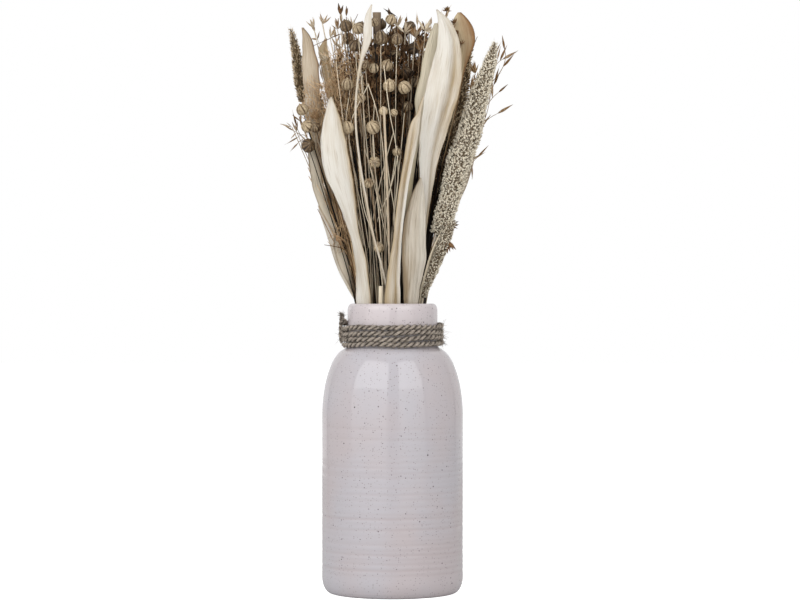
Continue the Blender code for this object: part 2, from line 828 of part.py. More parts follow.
def husk_spray(slot, points, twigs, husk_length, husk_width, seed, side_husks=0):
    """A main stem that ends in a husk, with a husk on each twig and short side husks half way along the twig."""
    rng = random.Random(seed)
    rising = [*((*slot, height) for height in (STEM_FOOT, STALK_LOW, NECK_ENTRY)), *points]
    line = smooth(rising, 10)
    pieces = [husk(line, HUSK_STEM_RADIUS, husk_length, husk_width)]
    for start, x, y, height in twigs:
        low = line[int(round(start * (len(line) - 1)))]
        tip = np.array([x, y, height], float)
        bend = (low + tip) / 2 + np.array([0, 0, 0.12 * np.linalg.norm(tip - low)])
        pieces.append(husk([low, bend, tip], 0.45, husk_length * rng.uniform(0.85, 1.15), husk_width))
        for _ in range(side_husks):
            away = unit(tip - low) + np.array([rng.uniform(-1, 1), rng.uniform(-1, 1), rng.uniform(-0.3, 0.9)])
            side = bend + unit(away) * 2.2
            pieces.append(husk([bend, side], 0.42, husk_length * rng.uniform(0.7, 1.0), husk_width))
    return fused(pieces)


HUSKS = {
    "oats_left": (
        "A08B68",
        (-17.6, 10.6),
        ((-36, 11, 250), (-52, 11, 290), (-60, 11, 312)),
        ((0.85, -72, 11, 315), (0.85, -69, 12, 303), (0.9, -66, 10, 318), (0.9, -59, 12, 306), (0.8, -63, 11, 298)),
        dict(husk_length=5.0, husk_width=0.9, seed=11),
    ),
    "oats_top_left": (
        "B9A684",
        (-13.4, 13.6),
        ((-26, 17, 270), (-38, 18, 335), (-48, 18, 386)),
        (
            (0.8, -53, 18, 380),
            (0.7, -46, 17, 362),
            (0.75, -39, 19, 376),
            (0.7, -35, 18, 362),
            (0.6, -48, 18, 340),
            (0.8, -35, 18, 386),
        ),
        dict(husk_length=6.5, husk_width=0.9, seed=12),
    ),
    "oats_top_right": (
        "B5A27F",
        (12.2, 7.6),
        ((18, 10, 270), (23, 12, 335), (26, 12, 384)),
        (
            (0.8, 17, 12, 384),
            (0.7, 20, 11, 366),
            (0.8, 32, 12, 386),
            (0.75, 33, 13, 372),
            (0.65, 30, 12, 352),
            (0.9, 37, 12, 391),
        ),
        dict(husk_length=6.0, husk_width=0.9, seed=13),
    ),
    "oats_right": (
        "AD9770",
        (21.2, 7.6),
        ((40, 9, 262), (60, 9, 310), (70, 9, 348), (74, 9, 366)),
        (
            (0.95, 73, 9, 376),
            (0.9, 69, 8, 368),
            (0.9, 81, 9, 362),
            (0.8, 80, 9, 345),
            (0.75, 70, 10, 333),
            (0.7, 80, 9, 327),
            (0.65, 71, 8, 322),
            (0.6, 66, 9, 303),
            (0.55, 56, 10, 295),
        ),
        dict(husk_length=5.5, husk_width=0.9, seed=14),
    ),
    "twigs_brown_left": (
        "8A6F4C",
        (-14.6, 7.4),
        ((-30, 11, 262), (-40, 12, 300), (-47, 12, 330)),
        (
            (0.7, -55, 12, 316),
            (0.75, -57, 12, 326),
            (0.8, -55, 12, 336),
            (0.85, -50, 12, 338),
            (0.8, -43, 12, 334),
            (0.85, -52, 13, 328),
        ),
        dict(husk_length=4.2, husk_width=1.1, seed=15, side_husks=1),
    ),
    "twigs_brown_middle": (
        "6B5238",
        (-10.4, 1.0),
        ((-18, -2, 262), (-26, -5, 318), (-31, -6, 356)),
        (
            (0.7, -34, -5, 326),
            (0.75, -24, -6, 334),
            (0.8, -37, -6, 344),
            (0.85, -25, -7, 350),
            (0.9, -36, -6, 360),
            (0.85, -28, -4, 364),
        ),
        dict(husk_length=4.2, husk_width=1.2, seed=16, side_husks=1),
    ),
    "plume_brown": (
        "5A4330",
        (6.8, 2.2),
        ((5, 9, 262), (4, 14, 330), (3, 15, 380)),
        (
            (0.9, -2, 15, 391),
            (0.85, 8, 15, 378),
            (0.9, 9, 14, 386),
            (0.8, 10, 15, 368),
            (0.85, -1, 15, 376),
        ),
        dict(husk_length=4.8, husk_width=1.2, seed=17, side_husks=1),
    ),
    "oats_back": (
        "B09B76",
        (-3.6, 15.6),
        ((-10, 30, 262), (-14, 40, 320), (-16, 44, 372)),
        (
            (0.85, -22, 46, 366),
            (0.8, -9, 46, 358),
            (0.75, -20, 43, 346),
            (0.7, -8, 42, 336),
            (0.9, -11, 45, 378),
        ),
        dict(husk_length=6.0, husk_width=0.9, seed=18),
    ),
}


def add_husk_sprays():
    for name, (hex_text, slot, points, twigs, form) in HUSKS.items():
        add_object(name, husk_spray(slot, points, twigs, **form), hex_text, 0.9)


def main():
    for old in list(bpy.data.objects):
        bpy.data.objects.remove(old, do_unlink=True)
    add_vase()
    add_twine()
    add_leaves()
    add_cut_ends()
    add_flax()
    add_foxtails()
    add_husk_sprays()


main()
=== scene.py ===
"""Dried flowers in a stoneware vase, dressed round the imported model.

Each section makes one kind of piece as fine surfaces that stand where the plain solids stand: the glazed
vase, the jute twine, the leaves, the cut ends, the flax, the foxtails, the oats and the loose straw between
them. Sizes are in millimetres and are turned to metres where a mesh is made. The origin is the centre of the
vase's foot on the table, +Z is up and -Y is the front."""

import math

import bpy
import numpy as np
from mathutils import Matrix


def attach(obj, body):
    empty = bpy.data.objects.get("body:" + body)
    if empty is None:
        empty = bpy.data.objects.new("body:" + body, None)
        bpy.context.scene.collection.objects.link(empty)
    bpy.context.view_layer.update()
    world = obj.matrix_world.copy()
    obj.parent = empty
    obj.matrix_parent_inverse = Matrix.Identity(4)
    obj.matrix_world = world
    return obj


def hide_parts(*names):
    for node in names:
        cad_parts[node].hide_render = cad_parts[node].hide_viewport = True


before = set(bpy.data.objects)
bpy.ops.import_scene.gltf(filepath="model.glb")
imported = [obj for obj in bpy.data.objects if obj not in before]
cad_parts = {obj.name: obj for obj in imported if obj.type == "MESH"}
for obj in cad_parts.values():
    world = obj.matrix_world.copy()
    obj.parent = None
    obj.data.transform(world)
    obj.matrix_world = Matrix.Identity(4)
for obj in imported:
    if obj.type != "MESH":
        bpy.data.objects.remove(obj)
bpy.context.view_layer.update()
MM = 0.001


# The view: a long lens, level and a little above the rim, so that the vase's walls stay upright in the
# picture. Its distance and height put the rim, the shoulder and the foot where the photograph has them.

CAMERA_DISTANCE = 1690.0
CAMERA_HEIGHT = 197.1
CAMERA_TO_THE_RIGHT = 5.06
LENS = 112.67

camera = bpy.data.objects.new("camera", bpy.data.cameras.new("camera"))
camera.data.lens = LENS
camera.data.sensor_width = 36.0
camera.location = (CAMERA_TO_THE_RIGHT * MM, -CAMERA_DISTANCE * MM, CAMERA_HEIGHT * MM)
camera.rotation_euler = (math.radians(90), 0, 0)
bpy.context.scene.collection.objects.link(camera)
bpy.context.scene.camera = camera
bpy.context.scene.view_settings.view_transform = "Standard"


# The studio: tall softboxes all round, one overhead, and a white room and table.
# The glaze mirrors the two beside the lens as broad upright panels with a darker strip between them.

ROOM_LIGHT = 0.21
PANEL_DISTANCE = 1.3
TABLE_GLOW = 1.0


def add(tree, kind, inputs=None, **settings):
    """A node with its settings; inputs maps an input's name or number to its value or to a socket."""
    made = tree.nodes.new(kind)
    for name, value in settings.items():
        setattr(made, name, value)
    for key, value in (inputs or {}).items():
        if isinstance(value, bpy.types.NodeSocket):
            tree.links.new(value, made.inputs[key])
        else:
            made.inputs[key].default_value = value
    return made


def maths(tree, operation, *values, clamp=False):
    """A sum of numbers or sockets, held between 0 and 1 where clamp is set."""
    inputs = dict(enumerate(values))
    return add(tree, "ShaderNodeMath", inputs, operation=operation, use_clamp=clamp).outputs[0]


def softbox(name, place, aim, width, height, brightness):
    """An even panel of light that faces a place in metres; its power follows from brightness and area."""
    light = bpy.data.lights.new(name, "AREA")
    light.shape = "RECTANGLE"
    light.size = width
    light.size_y = height
    light.energy = brightness * math.pi * width * height
    made = bpy.data.objects.new(name, light)
    place = np.array(place, float)
    ahead = np.array(aim, float) - place
    ahead = ahead / np.linalg.norm(ahead)
    made.location = place
    made.rotation_euler = (
        math.acos(-ahead[2]),
        0.0,
        math.atan2(-ahead[0], ahead[1]),
    )
    made.visible_camera = False
    bpy.context.scene.collection.objects.link(made)


for name, first_edge, last_edge, low, high, brightness in (
    ("softbox left", -70, -8, 0.0, 2.0, 1.13),
    ("softbox left top", -69, -8.5, 0.5, 1.95, 1.45),
    ("softbox far left", -128, -73, 0.0, 2.0, 0.46),
    ("softbox right", 11, 54, 0.0, 2.0, 1.02),
    ("softbox right top", 11.5, 53, 0.5, 1.95, 1.36),
    ("softbox far right", 58, 120, 0.0, 2.0, 0.48),
    ("softbox back left", -178, -132, 0.0, 2.0, 0.7),
    ("softbox back right", 124, 178, 0.0, 2.0, 0.62),
):
    middle_turn = math.radians((first_edge + last_edge) / 2)
    half_turn = math.radians((last_edge - first_edge) / 2)
    half_way = (low + high) / 2
    panel_place = (PANEL_DISTANCE * math.sin(middle_turn), -PANEL_DISTANCE * math.cos(middle_turn), half_way)
    panel_width = 2 * PANEL_DISTANCE * math.tan(half_turn)
    softbox(name, panel_place, (0.0, 0.0, half_way), panel_width, high - low, brightness)
softbox("softbox overhead", (0.2, 0.1, 2.2), (0.0, 0.0, 0.0), 1.6, 1.6, 0.5)

room = bpy.data.worlds.new("white room")
room.use_nodes = True
bpy.context.scene.world = room
seen = add(room.node_tree, "ShaderNodeLightPath").outputs["Is Camera Ray"]
room_strength = maths(room.node_tree, "MULTIPLY_ADD", seen, 1.0 - ROOM_LIGHT, ROOM_LIGHT)
backdrop = room.node_tree.nodes["Background"]
backdrop.inputs["Color"].default_value = (1.0, 1.0, 1.0, 1.0)
room.node_tree.links.new(room_strength, backdrop.inputs["Strength"])

table_material = bpy.data.materials.new("white acrylic table")
table_material.use_nodes = True
table_shader = table_material.node_tree.nodes["Principled BSDF"]
table_shader.inputs["Base Color"].default_value = (0.7, 0.7, 0.7, 1.0)
table_shader.inputs["Roughness"].default_value = 0.7
table_shader.inputs["Emission Color"].default_value = (1.0, 1.0, 1.0, 1.0)
seen = add(table_material.node_tree, "ShaderNodeLightPath").outputs["Is Camera Ray"]
table_glow = maths(table_material.node_tree, "MULTIPLY", seen, TABLE_GLOW)
table_material.node_tree.links.new(table_glow, table_shader.inputs["Emission Strength"])
table_mesh = bpy.data.meshes.new("table")
table_mesh.from_pydata([(-4, -2, 0), (4, -2, 0), (4, 6, 0), (-4, 6, 0)], [], [(0, 1, 2, 3)])
table_mesh.materials.append(table_material)
table = bpy.data.objects.new("table", table_mesh)
bpy.context.scene.collection.objects.link(table)


# The vase: a stoneware jar thrown on a wheel, with a round shoulder and a short straight neck.
# It is dipped in a pale lilac-grey gloss glaze; iron in the clay shows through as small dark specks.

VASE_HEIGHT = 194.7
BODY_RADIUS = 47.6
FOOT_RADIUS = 41.5
FOOT_ROUNDING = 11.0
SHOULDER_START = 118.0
SHOULDER_END = 164.6
NECK_RADIUS = 30.4
SHOULDER_INNER_RADIUS = 30.0
NECK_FILLET = 2.6
LIP_DROP = 5.0
LIP_ROUNDING = 2.9
WALL = 4.2
FLOOR = 5.0
VASE_SIDES = 120
RING_LOWEST = 11.0
RING_HIGHEST = 114.0
RING_DEPTH = 0.085
RING_WIDTH = 1.05
SHOULDER_RIDGE = 139.4
SHOULDER_RIDGE_HEIGHT = 0.11
POOLED_TONE = 1.8


def ellipse_part(centre, radii, start, end, count):
    """Part of an ellipse: centre plus the radii times cosine and sine, between two angles in degrees."""
    turn = np.radians(np.linspace(start, end, count))
    return np.stack([centre[0] + radii[0] * np.cos(turn), centre[1] + radii[1] * np.sin(turn)], axis=1)


def vase_profile():
    """Radius and height from the middle of the floor inside, over the lip and down to the foot outside."""
    shoulder_height = SHOULDER_END - SHOULDER_START
    inner_body = BODY_RADIUS - WALL
    inner_neck = NECK_RADIUS - WALL
    inside_wall = (inner_body - inner_neck + 0.6, shoulder_height - WALL)
    lip = (NECK_RADIUS - LIP_ROUNDING, VASE_HEIGHT - LIP_DROP)
    fillet = (NECK_RADIUS + NECK_FILLET, SHOULDER_END + NECK_FILLET)
    shoulder_radii = (BODY_RADIUS - SHOULDER_INNER_RADIUS, shoulder_height)
    foot_radii = (BODY_RADIUS - FOOT_RADIUS, FOOT_ROUNDING)
    wall = np.linspace(SHOULDER_START, FOOT_ROUNDING, 156)[1:-1]
    return np.concatenate(
        [
            [(1.0, FLOOR), (FOOT_RADIUS - WALL, FLOOR), (inner_body, FLOOR + 6)],
            ellipse_part((inner_neck - 0.6, SHOULDER_START), inside_wall, 0, 84, 9),
            [(inner_neck, SHOULDER_END), (inner_neck, 178.0)],
            ellipse_part(lip, (WALL - LIP_ROUNDING, LIP_DROP), 180, 90, 6)[:-1],
            ellipse_part(lip, (LIP_ROUNDING, LIP_DROP), 90, 0, 9),
            [(NECK_RADIUS, height) for height in np.linspace(187.0, 168.0, 6)],
            ellipse_part(fillet, (NECK_FILLET, NECK_FILLET), 180, 245, 5),
            ellipse_part((SHOULDER_INNER_RADIUS, SHOULDER_START), shoulder_radii, 76, 0, 40),
            np.stack([np.full(len(wall), BODY_RADIUS), wall], axis=1),
            ellipse_part((FOOT_RADIUS, FOOT_ROUNDING), foot_radii, 0, -90, 16),
            [(1.0, 0.0)],
        ]
    )


def throwing_rings(height, turn):
    """The potter's finger marks: bell-shaped grooves at uneven heights, each deeper on one side."""
    rng = np.random.default_rng(5)
    places = RING_LOWEST + np.cumsum(rng.uniform(2.6, 4.6, 40))
    places = places[places < RING_HIGHEST]
    depths = RING_DEPTH * rng.uniform(0.55, 1.25, len(places)) * np.where(places < 60, 1.4, 0.8)
    sides = rng.uniform(-2.4, 0.8, len(places))
    lean = 0.5 * np.sin(turn[..., None] + places)
    bells = np.exp(-(((height[..., None] - places - lean) / RING_WIDTH) ** 2))
    return (bells * depths * (1 + 0.5 * np.cos(turn[..., None] - sides))).sum(axis=-1)


def tube_faces(rows, sides):
    """Triangles of a closed tube: each cell of its grid as two, and a fan over the ring at each end."""
    row, side = np.meshgrid(np.arange(rows - 1), np.arange(sides), indexing="ij")
    low = row * sides + side
    low_after = row * sides + (side + 1) % sides
    corners = [low, low_after, low_after + sides, low, low_after + sides, low + sides]
    wall = np.stack(corners, axis=-1).reshape(-1, 3)
    fan = np.arange(1, sides - 1)
    last = (rows - 1) * sides
    start = np.stack([np.zeros_like(fan), fan + 1, fan], axis=1)
    end = np.stack([np.full_like(fan, last), last + fan, last + fan + 1], axis=1)
    return np.concatenate([wall, start, end])


def linear(hex_text):
    """An sRGB hex colour as the linear values that Blender stores."""
    parts = [int(hex_text[i : i + 2], 16) / 255 for i in (0, 2, 4)]
    return (*(p / 12.92 if p <= 0.04045 else ((p + 0.055) / 1.055) ** 2.4 for p in parts), 1.0)


def piece(name, shape, finish, slot, *nodes):
    """A piece made from points in millimetres, triangles, a tone at each point and a place in the pattern.

    It moves with the model's one body, takes the finish that is given and stands for the CAD nodes that
    are named. The slot is not used."""
    points, faces, tone, pattern = shape
    mesh = bpy.data.meshes.new(name)
    mesh.from_pydata(points * MM, [], faces)
    mesh.attributes.new("tone", "FLOAT", "POINT").data.foreach_set("value", tone.astype(np.float32))
    corners = pattern[faces.ravel()].astype(np.float32)
    mesh.uv_layers.new(name="pattern").uv.foreach_set("vector", corners.ravel())
    mesh.shade_smooth()
    mesh.materials.append(finish)
    made = bpy.data.objects.new(name, mesh)
    bpy.context.scene.collection.objects.link(made)
    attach(made, "root")
    if nodes:
        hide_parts(*nodes)


def in_millimetres(tree):
    """Object coordinates, in millimetres, for a pattern whose scale is then one over a real size."""
    place = add(tree, "ShaderNodeTexCoord").outputs["Object"]
    return add(tree, "ShaderNodeVectorMath", {0: place, "Scale": 1000.0}, operation="SCALE").outputs[0]


def new_finish(name, roughness, ior=1.5):
    """A material with its shader's constant values set; gives the material, its nodes and the shader."""
    made = bpy.data.materials.new(name)
    made.use_nodes = True
    shader = made.node_tree.nodes["Principled BSDF"]
    shader.inputs["Roughness"].default_value = roughness
    shader.inputs["IOR"].default_value = ior
    return made, made.node_tree, shader


def noise(tree, place, scale, detail, roughness=0.5):
    """Cloudy noise from 0 to 1."""
    inputs = {"Vector": place, "Scale": scale, "Detail": detail, "Roughness": roughness}
    return add(tree, "ShaderNodeTexNoise", inputs).outputs["Fac"]


def ramp(tree, value, low, high, most=1.0):
    """0 where the value is low, most where it is high, and a straight line between them."""
    inputs = {"Value": value, "From Min": low, "From Max": high, "To Max": most}
    return add(tree, "ShaderNodeMapRange", inputs).outputs[0]


def mixed(tree, share, *colours):
    """The first colour where share is 0 and the second where it is 1, each a hex text or a socket."""
    first, second = (linear(colour) if isinstance(colour, str) else colour for colour in colours)
    return add(tree, "ShaderNodeMix", {0: share, 6: first, 7: second}, data_type="RGBA").outputs[2]


def tone_of(tree):
    """The tone that a piece's points carry."""
    return add(tree, "ShaderNodeAttribute", attribute_name="tone").outputs["Fac"]


def laid(tree, scale, turned=0.0, moved=(0.0, 0.0, 0.0)):
    """A piece's pattern, in millimetres round it and along it, scaled, turned and moved for a texture."""
    lay = add(tree, "ShaderNodeUVMap", uv_map="pattern").outputs[0]
    inputs = {"Vector": lay, "Location": moved, "Rotation": (0.0, 0.0, turned), "Scale": (*scale, 1.0)}
    return add(tree, "ShaderNodeMapping", inputs).outputs[0]


def surface(tree, shader, colour, height=None, strength=0.0, depth=0.0):
    """Gives the shader its colour and, with a height, a relief of that strength and depth in metres."""
    tree.links.new(colour, shader.inputs["Base Color"])
    if height is not None:
        relief = add(tree, "ShaderNodeBump", {"Height": height, "Strength": strength, "Distance": depth})
        tree.links.new(relief.outputs[0], shader.inputs["Normal"])


# Gloss feldspar glaze over speckled stoneware: it mirrors the softboxes faintly. Its colour drifts from lilac
# to a warmer grey over a few centimetres, is paler up the neck and pinker where it pools in the rings. Most
# specks are faint and about half a millimetre across; dark ones lie about 8 mm apart.

glaze, tree, shader = new_finish("speckled gloss glaze", 0.07)
place = in_millimetres(tree)
drift = ramp(tree, noise(tree, place, 1 / 55, 2.0), 0.4, 0.6)
colour = mixed(tree, drift, "BBB7BC", "BDB4B6")
height = add(tree, "ShaderNodeSeparateXYZ", {0: place}).outputs[2]
colour = mixed(tree, ramp(tree, height, 160.0, 186.0, 0.7), colour, "CFC5C6")
colour = mixed(tree, tone_of(tree), colour, "AE9F9F")
for cell, largest, speck_hex, power in (
    (1.4, 0.33, "9A8F92", 1.1),
    (3.0, 0.2, "70656A", 2.0),
    (8.0, 0.095, "352C2C", 2.2),
):
    cells = add(tree, "ShaderNodeTexVoronoi", {"Vector": place, "Scale": 1 / cell})
    chance = add(tree, "ShaderNodeSeparateColor", {0: cells.outputs["Color"]}).outputs[0]
    size = maths(tree, "MULTIPLY", maths(tree, "POWER", chance, power), largest)
    inside = ramp(tree, cells.outputs["Distance"], size, 0.0)
    colour = mixed(tree, maths(tree, "MULTIPLY", inside, 3.0, clamp=True), colour, speck_hex)
surface(tree, shader, colour, noise(tree, place, 1 / 9, 1.0), 0.12, 0.0006)

profile = vase_profile()
turn = np.arange(VASE_SIDES) * 2 * math.pi / VASE_SIDES
outside = (profile[:, 0] > BODY_RADIUS - 0.01)[:, None]
rings = throwing_rings(profile[:, 1:2] + 0 * turn, 0 * profile[:, 1:2] + turn)
on_shoulder = (np.arange(len(profile)) > profile[:, 1].argmax())[:, None]
ridge = SHOULDER_RIDGE_HEIGHT * np.exp(-(((profile[:, 1:2] - SHOULDER_RIDGE) / 1.1) ** 2))
radius = profile[:, 0:1] - outside * rings + on_shoulder * ridge
vase_points = np.stack(
    [radius * np.cos(turn), radius * np.sin(turn), np.broadcast_to(profile[:, 1:2], radius.shape)], axis=-1
).reshape(-1, 3)
vase_faces = tube_faces(len(profile), VASE_SIDES)[:, ::-1]
vase_tones = (rings * outside * POOLED_TONE).reshape(-1)
piece("vase_glazed", (vase_points, vase_faces, vase_tones, vase_points[:, :2]), glaze, "glaze", "vase")


# The twine: one jute cord of two plies, wound nearly four times round the neck above the shoulder and
# knotted at the left, where its cut end stands up and frays. Loose fibres stand out of it all the way round.

TWINE_DIAMETER = 3.4
TWINE_PITCH = 3.72
TWINE_TURNS = 3.85
TWINE_LOWEST = 167.3
TWINE_AWAY = NECK_RADIUS + 0.3 + TWINE_DIAMETER / 2 + 0.45
TWINE_ENDS_AT = math.radians(190)
PLIES = 2
PLY_RADIUS = 0.96
PLY_AWAY = 0.92
TWIST_LENGTH = 9.0
PALER_PLY = 0.2
PLY_SIDES = 8
FUZZ = 2000
FRAYS = 110
UP = np.array([0.0, 0.0, 1.0])
TO_THE_RIGHT = np.array([1.0, 0.0, 0.0])


def unit(vectors):
    """Vectors at length 1."""
    return vectors / np.linalg.norm(vectors, axis=-1, keepdims=True)


def tubes(paths, radii, sides, tone, across=None):
    """Closed tubes, each a ring of points carried along its path.

    paths is tubes x rows x 3; radii and tone are tubes x rows x 1 or x sides. A ring's point is the path's
    point plus its radius times (first axis * cosine + second axis * sine), with both axes square to the
    path. The pattern runs round the tube in its first number and along it, in millimetres, in its second."""
    count, rows, _ = paths.shape
    ahead = unit(np.gradient(paths, axis=1))
    if across is None:
        run = np.abs(paths[:, -1] - paths[:, 0])
        across = np.eye(3)[run.argmin(axis=1)][:, None]
    first = unit(across - ahead * (ahead * across).sum(axis=-1, keepdims=True))
    second = np.cross(ahead, first)
    turn = np.arange(sides) * 2 * math.pi / sides
    ring = first[:, :, None] * np.cos(turn)[:, None] + second[:, :, None] * np.sin(turn)[:, None]
    points = paths[:, :, None] + ring * np.broadcast_to(radii, (count, rows, sides))[..., None]
    steps = np.linalg.norm(np.diff(paths, axis=1, prepend=paths[:, :1]), axis=-1).cumsum(axis=1)
    around = np.broadcast_to(turn * np.max(radii), (count, rows, sides))
    pattern = np.stack([around, np.broadcast_to(steps[..., None], around.shape)], axis=-1)
    faces = tube_faces(rows, sides)[None] + (np.arange(count) * rows * sides)[:, None, None]
    tones = np.broadcast_to(tone, (count, rows, sides))
    return points.reshape(-1, 3), faces.reshape(-1, 3), tones.reshape(-1), pattern.reshape(-1, 2)


def strands(lines, radii, sides, tones):
    """Tubes that share one radius or one row of radii along them; tones is one for all or one for each."""
    return tubes(lines, np.reshape(radii, (-1, 1)), sides, np.reshape(tones, (-1, 1, 1)))


def bowed(start, run, bend, rows):
    """Lines from their starts: a point is start + t * run + t squared * bend, with t from 0 to 1."""
    t = np.linspace(0, 1, rows)[:, None, None]
    return (start + t * run + t**2 * bend).transpose(1, 0, 2)


def joined(*shapes):
    """Several shapes as one, their points, triangles, tones and pattern places one after another."""
    starts = np.cumsum([0] + [len(shape[0]) for shape in shapes[:-1]])
    return (
        np.concatenate([shape[0] for shape in shapes]),
        np.concatenate([shape[1] + start for shape, start in zip(shapes, starts)]),
        np.concatenate([shape[2] for shape in shapes]),
        np.concatenate([shape[3] for shape in shapes]),
    )


def coil(share):
    """The cord's middle line: a screw round the neck that ends at the left and sways a little in height."""
    turn = TWINE_ENDS_AT + (share - 1) * TWINE_TURNS * 2 * math.pi
    height = TWINE_LOWEST + share * TWINE_TURNS * TWINE_PITCH
    height = height + 0.34 * np.sin(turn * 2.3) + 0.24 * np.sin(turn * 5.1 + 1)
    return np.stack([TWINE_AWAY * np.cos(turn), TWINE_AWAY * np.sin(turn), height], axis=-1)


def plied(path, up, twist_length, ply_away, ply_radius):
    """Plies round a path: each is the path moved out by ply_away, and turns round it once a twist length.

    Each ply swells and thins a little along its length, and one is paler than the other. The tone is painted
    shade: it runs from 0 in the valleys, where a ply faces the cord's middle or the next wrap, to 1 where it
    faces out."""
    ahead = unit(np.gradient(path, axis=0))
    side = unit(np.cross(ahead, up))
    top = np.cross(side, ahead)
    length = np.linalg.norm(np.diff(path, axis=0, prepend=path[:1]), axis=-1).cumsum()
    plies = np.arange(PLIES)[:, None]
    turn = 2 * math.pi * (length / twist_length + plies / PLIES)
    lines = path + ply_away * (np.cos(turn)[..., None] * side + np.sin(turn)[..., None] * top)
    strand = 1 + 0.09 * np.sin(length * 1.7 + plies * 2) + 0.06 * np.sin(length * 0.6 + plies)
    around = np.arange(PLY_SIDES) * 2 * math.pi / PLY_SIDES
    ridges = 0.10 * np.cos(3 * around + length[:, None] * 1.3)
    ridges = ridges + 0.05 * np.cos(5 * around - length[:, None] * 0.9)
    radii = ply_radius * strand[..., None] * (1 + ridges)
    points, faces, _, pattern = tubes(lines, radii, PLY_SIDES, 0.0, across=top[None])
    # Painted shade: the tone darkens each ply where it faces the cord's middle or the next wrap.
    away = points.reshape(PLIES, len(path), PLY_SIDES, 3) - path[None, :, None]
    facing = np.abs((away * side[None, :, None]).sum(axis=-1))
    spread = np.linalg.norm(away, axis=-1) / (ply_away + ply_radius)
    patch = 0.16 * np.sin(length * 0.83 + plies * 4) + 0.12 * np.sin(length * 0.31 + plies)
    tone = 0.75 * facing / (ply_away + ply_radius) + 0.6 * (spread - 0.45)
    tone = tone + patch[..., None] + PALER_PLY * (plies[..., None] - 0.5)
    return points, faces, tone.reshape(-1), pattern


# Jute: long stiff bast fibres, matt and grey-brown, spun with a slant; single fibres run lighter or darker,
# and the valleys between the plies are painted dark as shade.

jute, tree, shader = new_finish("spun jute", 0.95)
fibres = ramp(tree, noise(tree, laid(tree, (5.0, 0.5), turned=0.35), 1.0, 5.0, 0.65), 0.36, 0.62)
shown = maths(tree, "MULTIPLY_ADD", ramp(tree, tone_of(tree), 0.1, 0.95), 0.8, -0.3)
shown = maths(tree, "MULTIPLY_ADD", fibres, 0.9, shown, clamp=True)
surface(tree, shader, mixed(tree, shown, "1E1611", "CDBFB0"), fibres, 0.9, 0.0004)

rng = np.random.default_rng(11)
cord = plied(coil(np.linspace(-0.04, 1, 1080)), UP, TWIST_LENGTH, PLY_AWAY, PLY_RADIUS)
knot_at = coil(np.array([1.0]))[0] + np.array([-0.6, -0.3, 1.2])
stub_share = np.linspace(0, 1, 26)[:, None]
stub = knot_at + stub_share * np.array([-0.4, -1.6, 3.6])
stub = stub + np.sin(stub_share * 3) * np.array([-0.7, 0.3, 0.0])
tail_share = np.linspace(0, 1, 60)
tail_turn = math.radians(186) - 0.16 * tail_share
tail_out = TWINE_AWAY + 1.5 + 0.5 * np.sin(tail_share * math.pi)
tail = np.stack(
    [tail_out * np.cos(tail_turn), tail_out * np.sin(tail_turn), knot_at[2] + 0.6 - 15.2 * tail_share],
    axis=-1,
)
knot_turn = np.linspace(0, 4 * math.pi, 70)
knot_rise = 1.6 * np.sin(knot_turn * 0.5) + 0.1 * knot_turn - 0.8
knot_loop = knot_at + np.stack([1.5 * np.cos(knot_turn) - 0.3, 1.2 * np.sin(knot_turn), knot_rise], axis=-1)
fuzz_from = rng.uniform(0, 1, FUZZ)
fuzz_root = coil(fuzz_from)
fuzz_out = unit(fuzz_root * np.array([1.0, 1.0, 0.0]))
fuzz_along = unit(coil(fuzz_from + 1e-4) - fuzz_root)
fuzz_turn = rng.uniform(-1.7, 1.7, FUZZ)[:, None]
fuzz_side = np.cos(fuzz_turn) * fuzz_out + np.sin(fuzz_turn) * UP
fuzz_length = rng.gamma(2.2, 0.8, FUZZ)[:, None].clip(0.6, 6.5)
fuzz_bend = rng.normal(0, 0.45, (FUZZ, 3))
fuzz_way = 0.55 * fuzz_side + rng.choice((-0.8, 0.8), FUZZ)[:, None] * fuzz_along
fuzz_lines = bowed(fuzz_root + fuzz_side * 1.35, fuzz_length * fuzz_way, fuzz_length * fuzz_bend, 3)
fuzz = strands(fuzz_lines, (0.11, 0.09, 0.04), 3, rng.uniform(0.2, 1.1, FUZZ))
fray_way = unit(np.array([-0.3, -0.35, 0.6]) + rng.normal(0, 0.5, (FRAYS, 3)))
fray_reach = rng.uniform(1.2, 3.6, FRAYS)[:, None]
fray_root = stub[21] + rng.normal(0, 0.5, (FRAYS, 3))
fray_lines = bowed(fray_root, fray_reach * fray_way, rng.normal(0, 0.8, (FRAYS, 3)), 3)
frays = strands(fray_lines, (0.20, 0.17, 0.06), 3, rng.uniform(0.2, 1.0, FRAYS))
piece(
    "twine_plied",
    joined(
        cord,
        plied(stub, TO_THE_RIGHT, 8.0, 0.65, 0.8),
        plied(tail, TO_THE_RIGHT, 8.0, 0.75, 0.85),
        plied(knot_loop, np.array([0.3, 1.0, 0.2]), 8.0, 0.6, 0.75),
        fuzz,
        frays,
    ),
    jute,
    "jute",
    "twine",
)


# The leaves: long dried leaves, each a papery sheet cupped along its middle, with rolled edges and veins.
# Each narrows to its own stalk inside the vase. Three at the front have a margin folded along a crease.

REST_GAP = 0.3
STEM_FOOT = FLOOR + REST_GAP
STALK_LOW = 80.0
STALK_HIGH = 150.0
NECK_ENTRY = 186.0
RIM = 195.0
LEAF_THICKNESS = 0.35
WAVE_LENGTH = 34.0
# Dark brown for withered leaf and for painted shade on leaf parts deep in the bouquet.
WITHERED_AND_SHADE = "2E2015"


